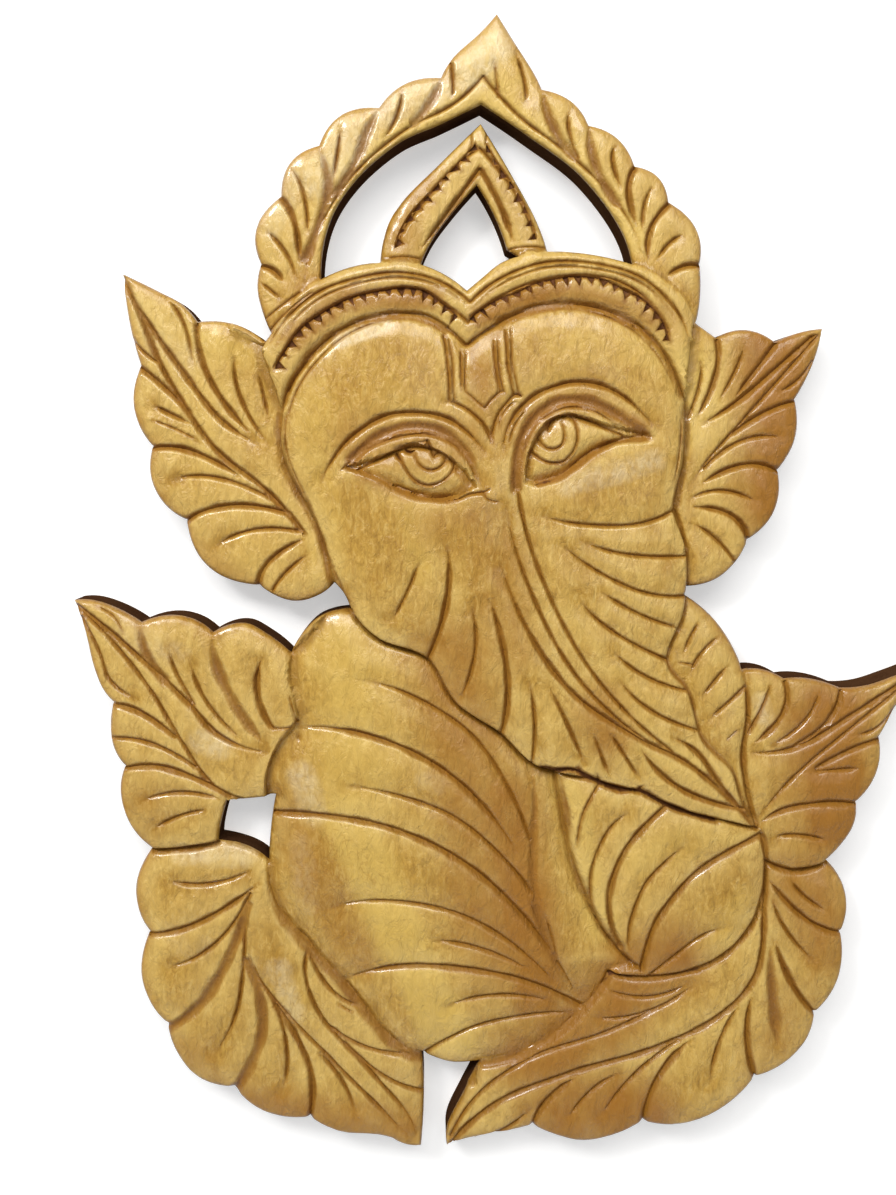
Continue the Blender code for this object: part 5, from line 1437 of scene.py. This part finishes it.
plaque = bpy.data.objects.new("carved_plaque", closed_board(face.data))
bpy.context.scene.collection.objects.link(plaque)
for material in (varnished, sawn, bare):
    plaque.data.materials.append(material)
plaque.data.set_sharp_from_angle(angle=SHARP_ANGLE)
for helper in (face, rim_lines, fine_strokes, v_strokes, gouge_strokes, recesses, band_chips, flame_chips,
               chip_shape):
    bpy.data.objects.remove(helper, do_unlink=True)
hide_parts(BOARD)
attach(plaque, "root")

# The wall and the floor
# A plain white wall right behind the plaque, running down in a curve to a pale floor.
WALL_GAP = 0.0015
WALL_HALF_WIDTH = 1.6
WALL_TOP = 1.2
FLOOR_LEVEL = -1.1
FLOOR_DEPTH = 2.2
SWEEP_RADIUS = 0.5
SWEEP_STEPS = 12


def sweep_profile():
    """The section of wall, curve and floor, from the wall's top to the floor's front edge."""
    section = [(WALL_GAP, WALL_TOP)]
    for step in range(SWEEP_STEPS + 1):
        turn = math.pi / 2 * step / SWEEP_STEPS
        section.append((WALL_GAP - SWEEP_RADIUS * (1 - math.cos(turn)),
                        FLOOR_LEVEL + SWEEP_RADIUS * (1 - math.sin(turn))))
    section.append((-FLOOR_DEPTH, FLOOR_LEVEL))
    return section


section = sweep_profile()
studio = mesh_object(
    "studio_wall", [(side * WALL_HALF_WIDTH, y, z) for y, z in section for side in (-1, 1)],
    faces=[(2 * k, 2 * k + 2, 2 * k + 3, 2 * k + 1) for k in range(len(section) - 1)])
studio.data.shade_smooth()
paint = bpy.data.materials.new("white_wall")
paint.use_nodes = True
tree = paint.node_tree
shader = tree.nodes["Principled BSDF"]
shader.inputs["Base Color"].default_value = (0.72, 0.72, 0.72, 1)
shader.inputs["Roughness"].default_value = 0.9
# Painted light: the wall glows white for the camera alone, which lifts it and the plaque's shadow on it
# without lighting anything
shader.inputs["Emission Color"].default_value = (1.0, 1.0, 1.0, 1)
glow_seen_by_camera = put(tree, "ShaderNodeLightPath").outputs["Is Camera Ray"]
tree.links.new(sums(tree, "MULTIPLY", glow_seen_by_camera, 0.42), shader.inputs["Emission Strength"])
# The wall is seen from the front alone, so that the back of the plaque can be looked at
behind = put(tree, "ShaderNodeNewGeometry").outputs["Backfacing"]
shadow = put(tree, "ShaderNodeLightPath").outputs["Is Shadow Ray"]
clear = put(tree, "ShaderNodeBsdfTransparent").outputs[0]
mixed = put(tree, "ShaderNodeMixShader", {0: sums(tree, "MAXIMUM", behind, shadow)})
tree.links.new(shader.outputs[0], mixed.inputs[1])
tree.links.new(clear, mixed.inputs[2])
tree.links.new(mixed.outputs[0], tree.nodes["Material Output"].inputs["Surface"])
studio.data.materials.append(paint)

# Light and camera
# A soft box high on the left gives the bright lower lips of the cuts, a wide one in front fills them.
PLAQUE_MIDDLE = Vector((0.0, 0.0, -0.09))


def soft_box(name, place, size, power, colour=(1.0, 1.0, 1.0)):
    """A light of the given width and height that looks at the plaque's middle."""
    data = bpy.data.lights.new(name, "AREA")
    data.shape = "RECTANGLE"
    data.size, data.size_y = size
    data.energy = power
    data.color = colour
    lamp = bpy.data.objects.new(name, data)
    lamp.location = place
    lamp.rotation_euler = (PLAQUE_MIDDLE - Vector(place)).to_track_quat("-Z", "Y").to_euler()
    bpy.context.scene.collection.objects.link(lamp)


soft_box("key_light", (-0.24, -1.02, 0.78), (1.50, 0.55), 16.5, (1.0, 0.98, 0.95))
soft_box("glint_light", (-0.56, -0.82, 0.56), (0.20, 0.20), 4.0)
soft_box("front_fill", (0.5, -1.7, 0.3), (1.2, 1.2), 3.5)
soft_box("back_fill", (0.0, 2.2, 0.0), (1.2, 1.2), 12.0)
world = bpy.data.worlds.new("studio_air")
world.use_nodes = True
world.node_tree.nodes["Background"].inputs[0].default_value = (1.0, 1.0, 1.0, 1)
world.node_tree.nodes["Background"].inputs[1].default_value = 0.28
bpy.context.scene.world = world
bpy.context.scene.view_settings.view_transform = "Standard"

# The camera stands straight in front, a little left of and below the brow, close to the board
CAMERA_COLUMN = 430.0
CAMERA_ROW = 450.0
CAMERA_SQUARES = 1156.0
FRAME_WIDTH = 896.0
FRAME_HEIGHT = 1195.0
LEAF_LEVEL = 0.0145
SENSOR = 36.0
camera_data = bpy.data.cameras.new("camera")
camera_data.sensor_width = SENSOR
camera_data.lens = SENSOR * CAMERA_SQUARES / FRAME_HEIGHT
camera_data.shift_x = (FRAME_WIDTH / 2 - CAMERA_COLUMN) / FRAME_HEIGHT
camera_data.shift_y = (CAMERA_ROW - FRAME_HEIGHT / 2) / FRAME_HEIGHT
camera_data.clip_start = 0.01
camera = bpy.data.objects.new("camera", camera_data)
camera.location = ((CAMERA_COLUMN - HANGING_COLUMN) * SQUARE, -LEAF_LEVEL - CAMERA_SQUARES * SQUARE,
                   (HANGING_ROW - CAMERA_ROW) * SQUARE)
camera.rotation_euler = (math.radians(90), 0.0, 0.0)
bpy.context.scene.collection.objects.link(camera)
bpy.context.scene.camera = camera
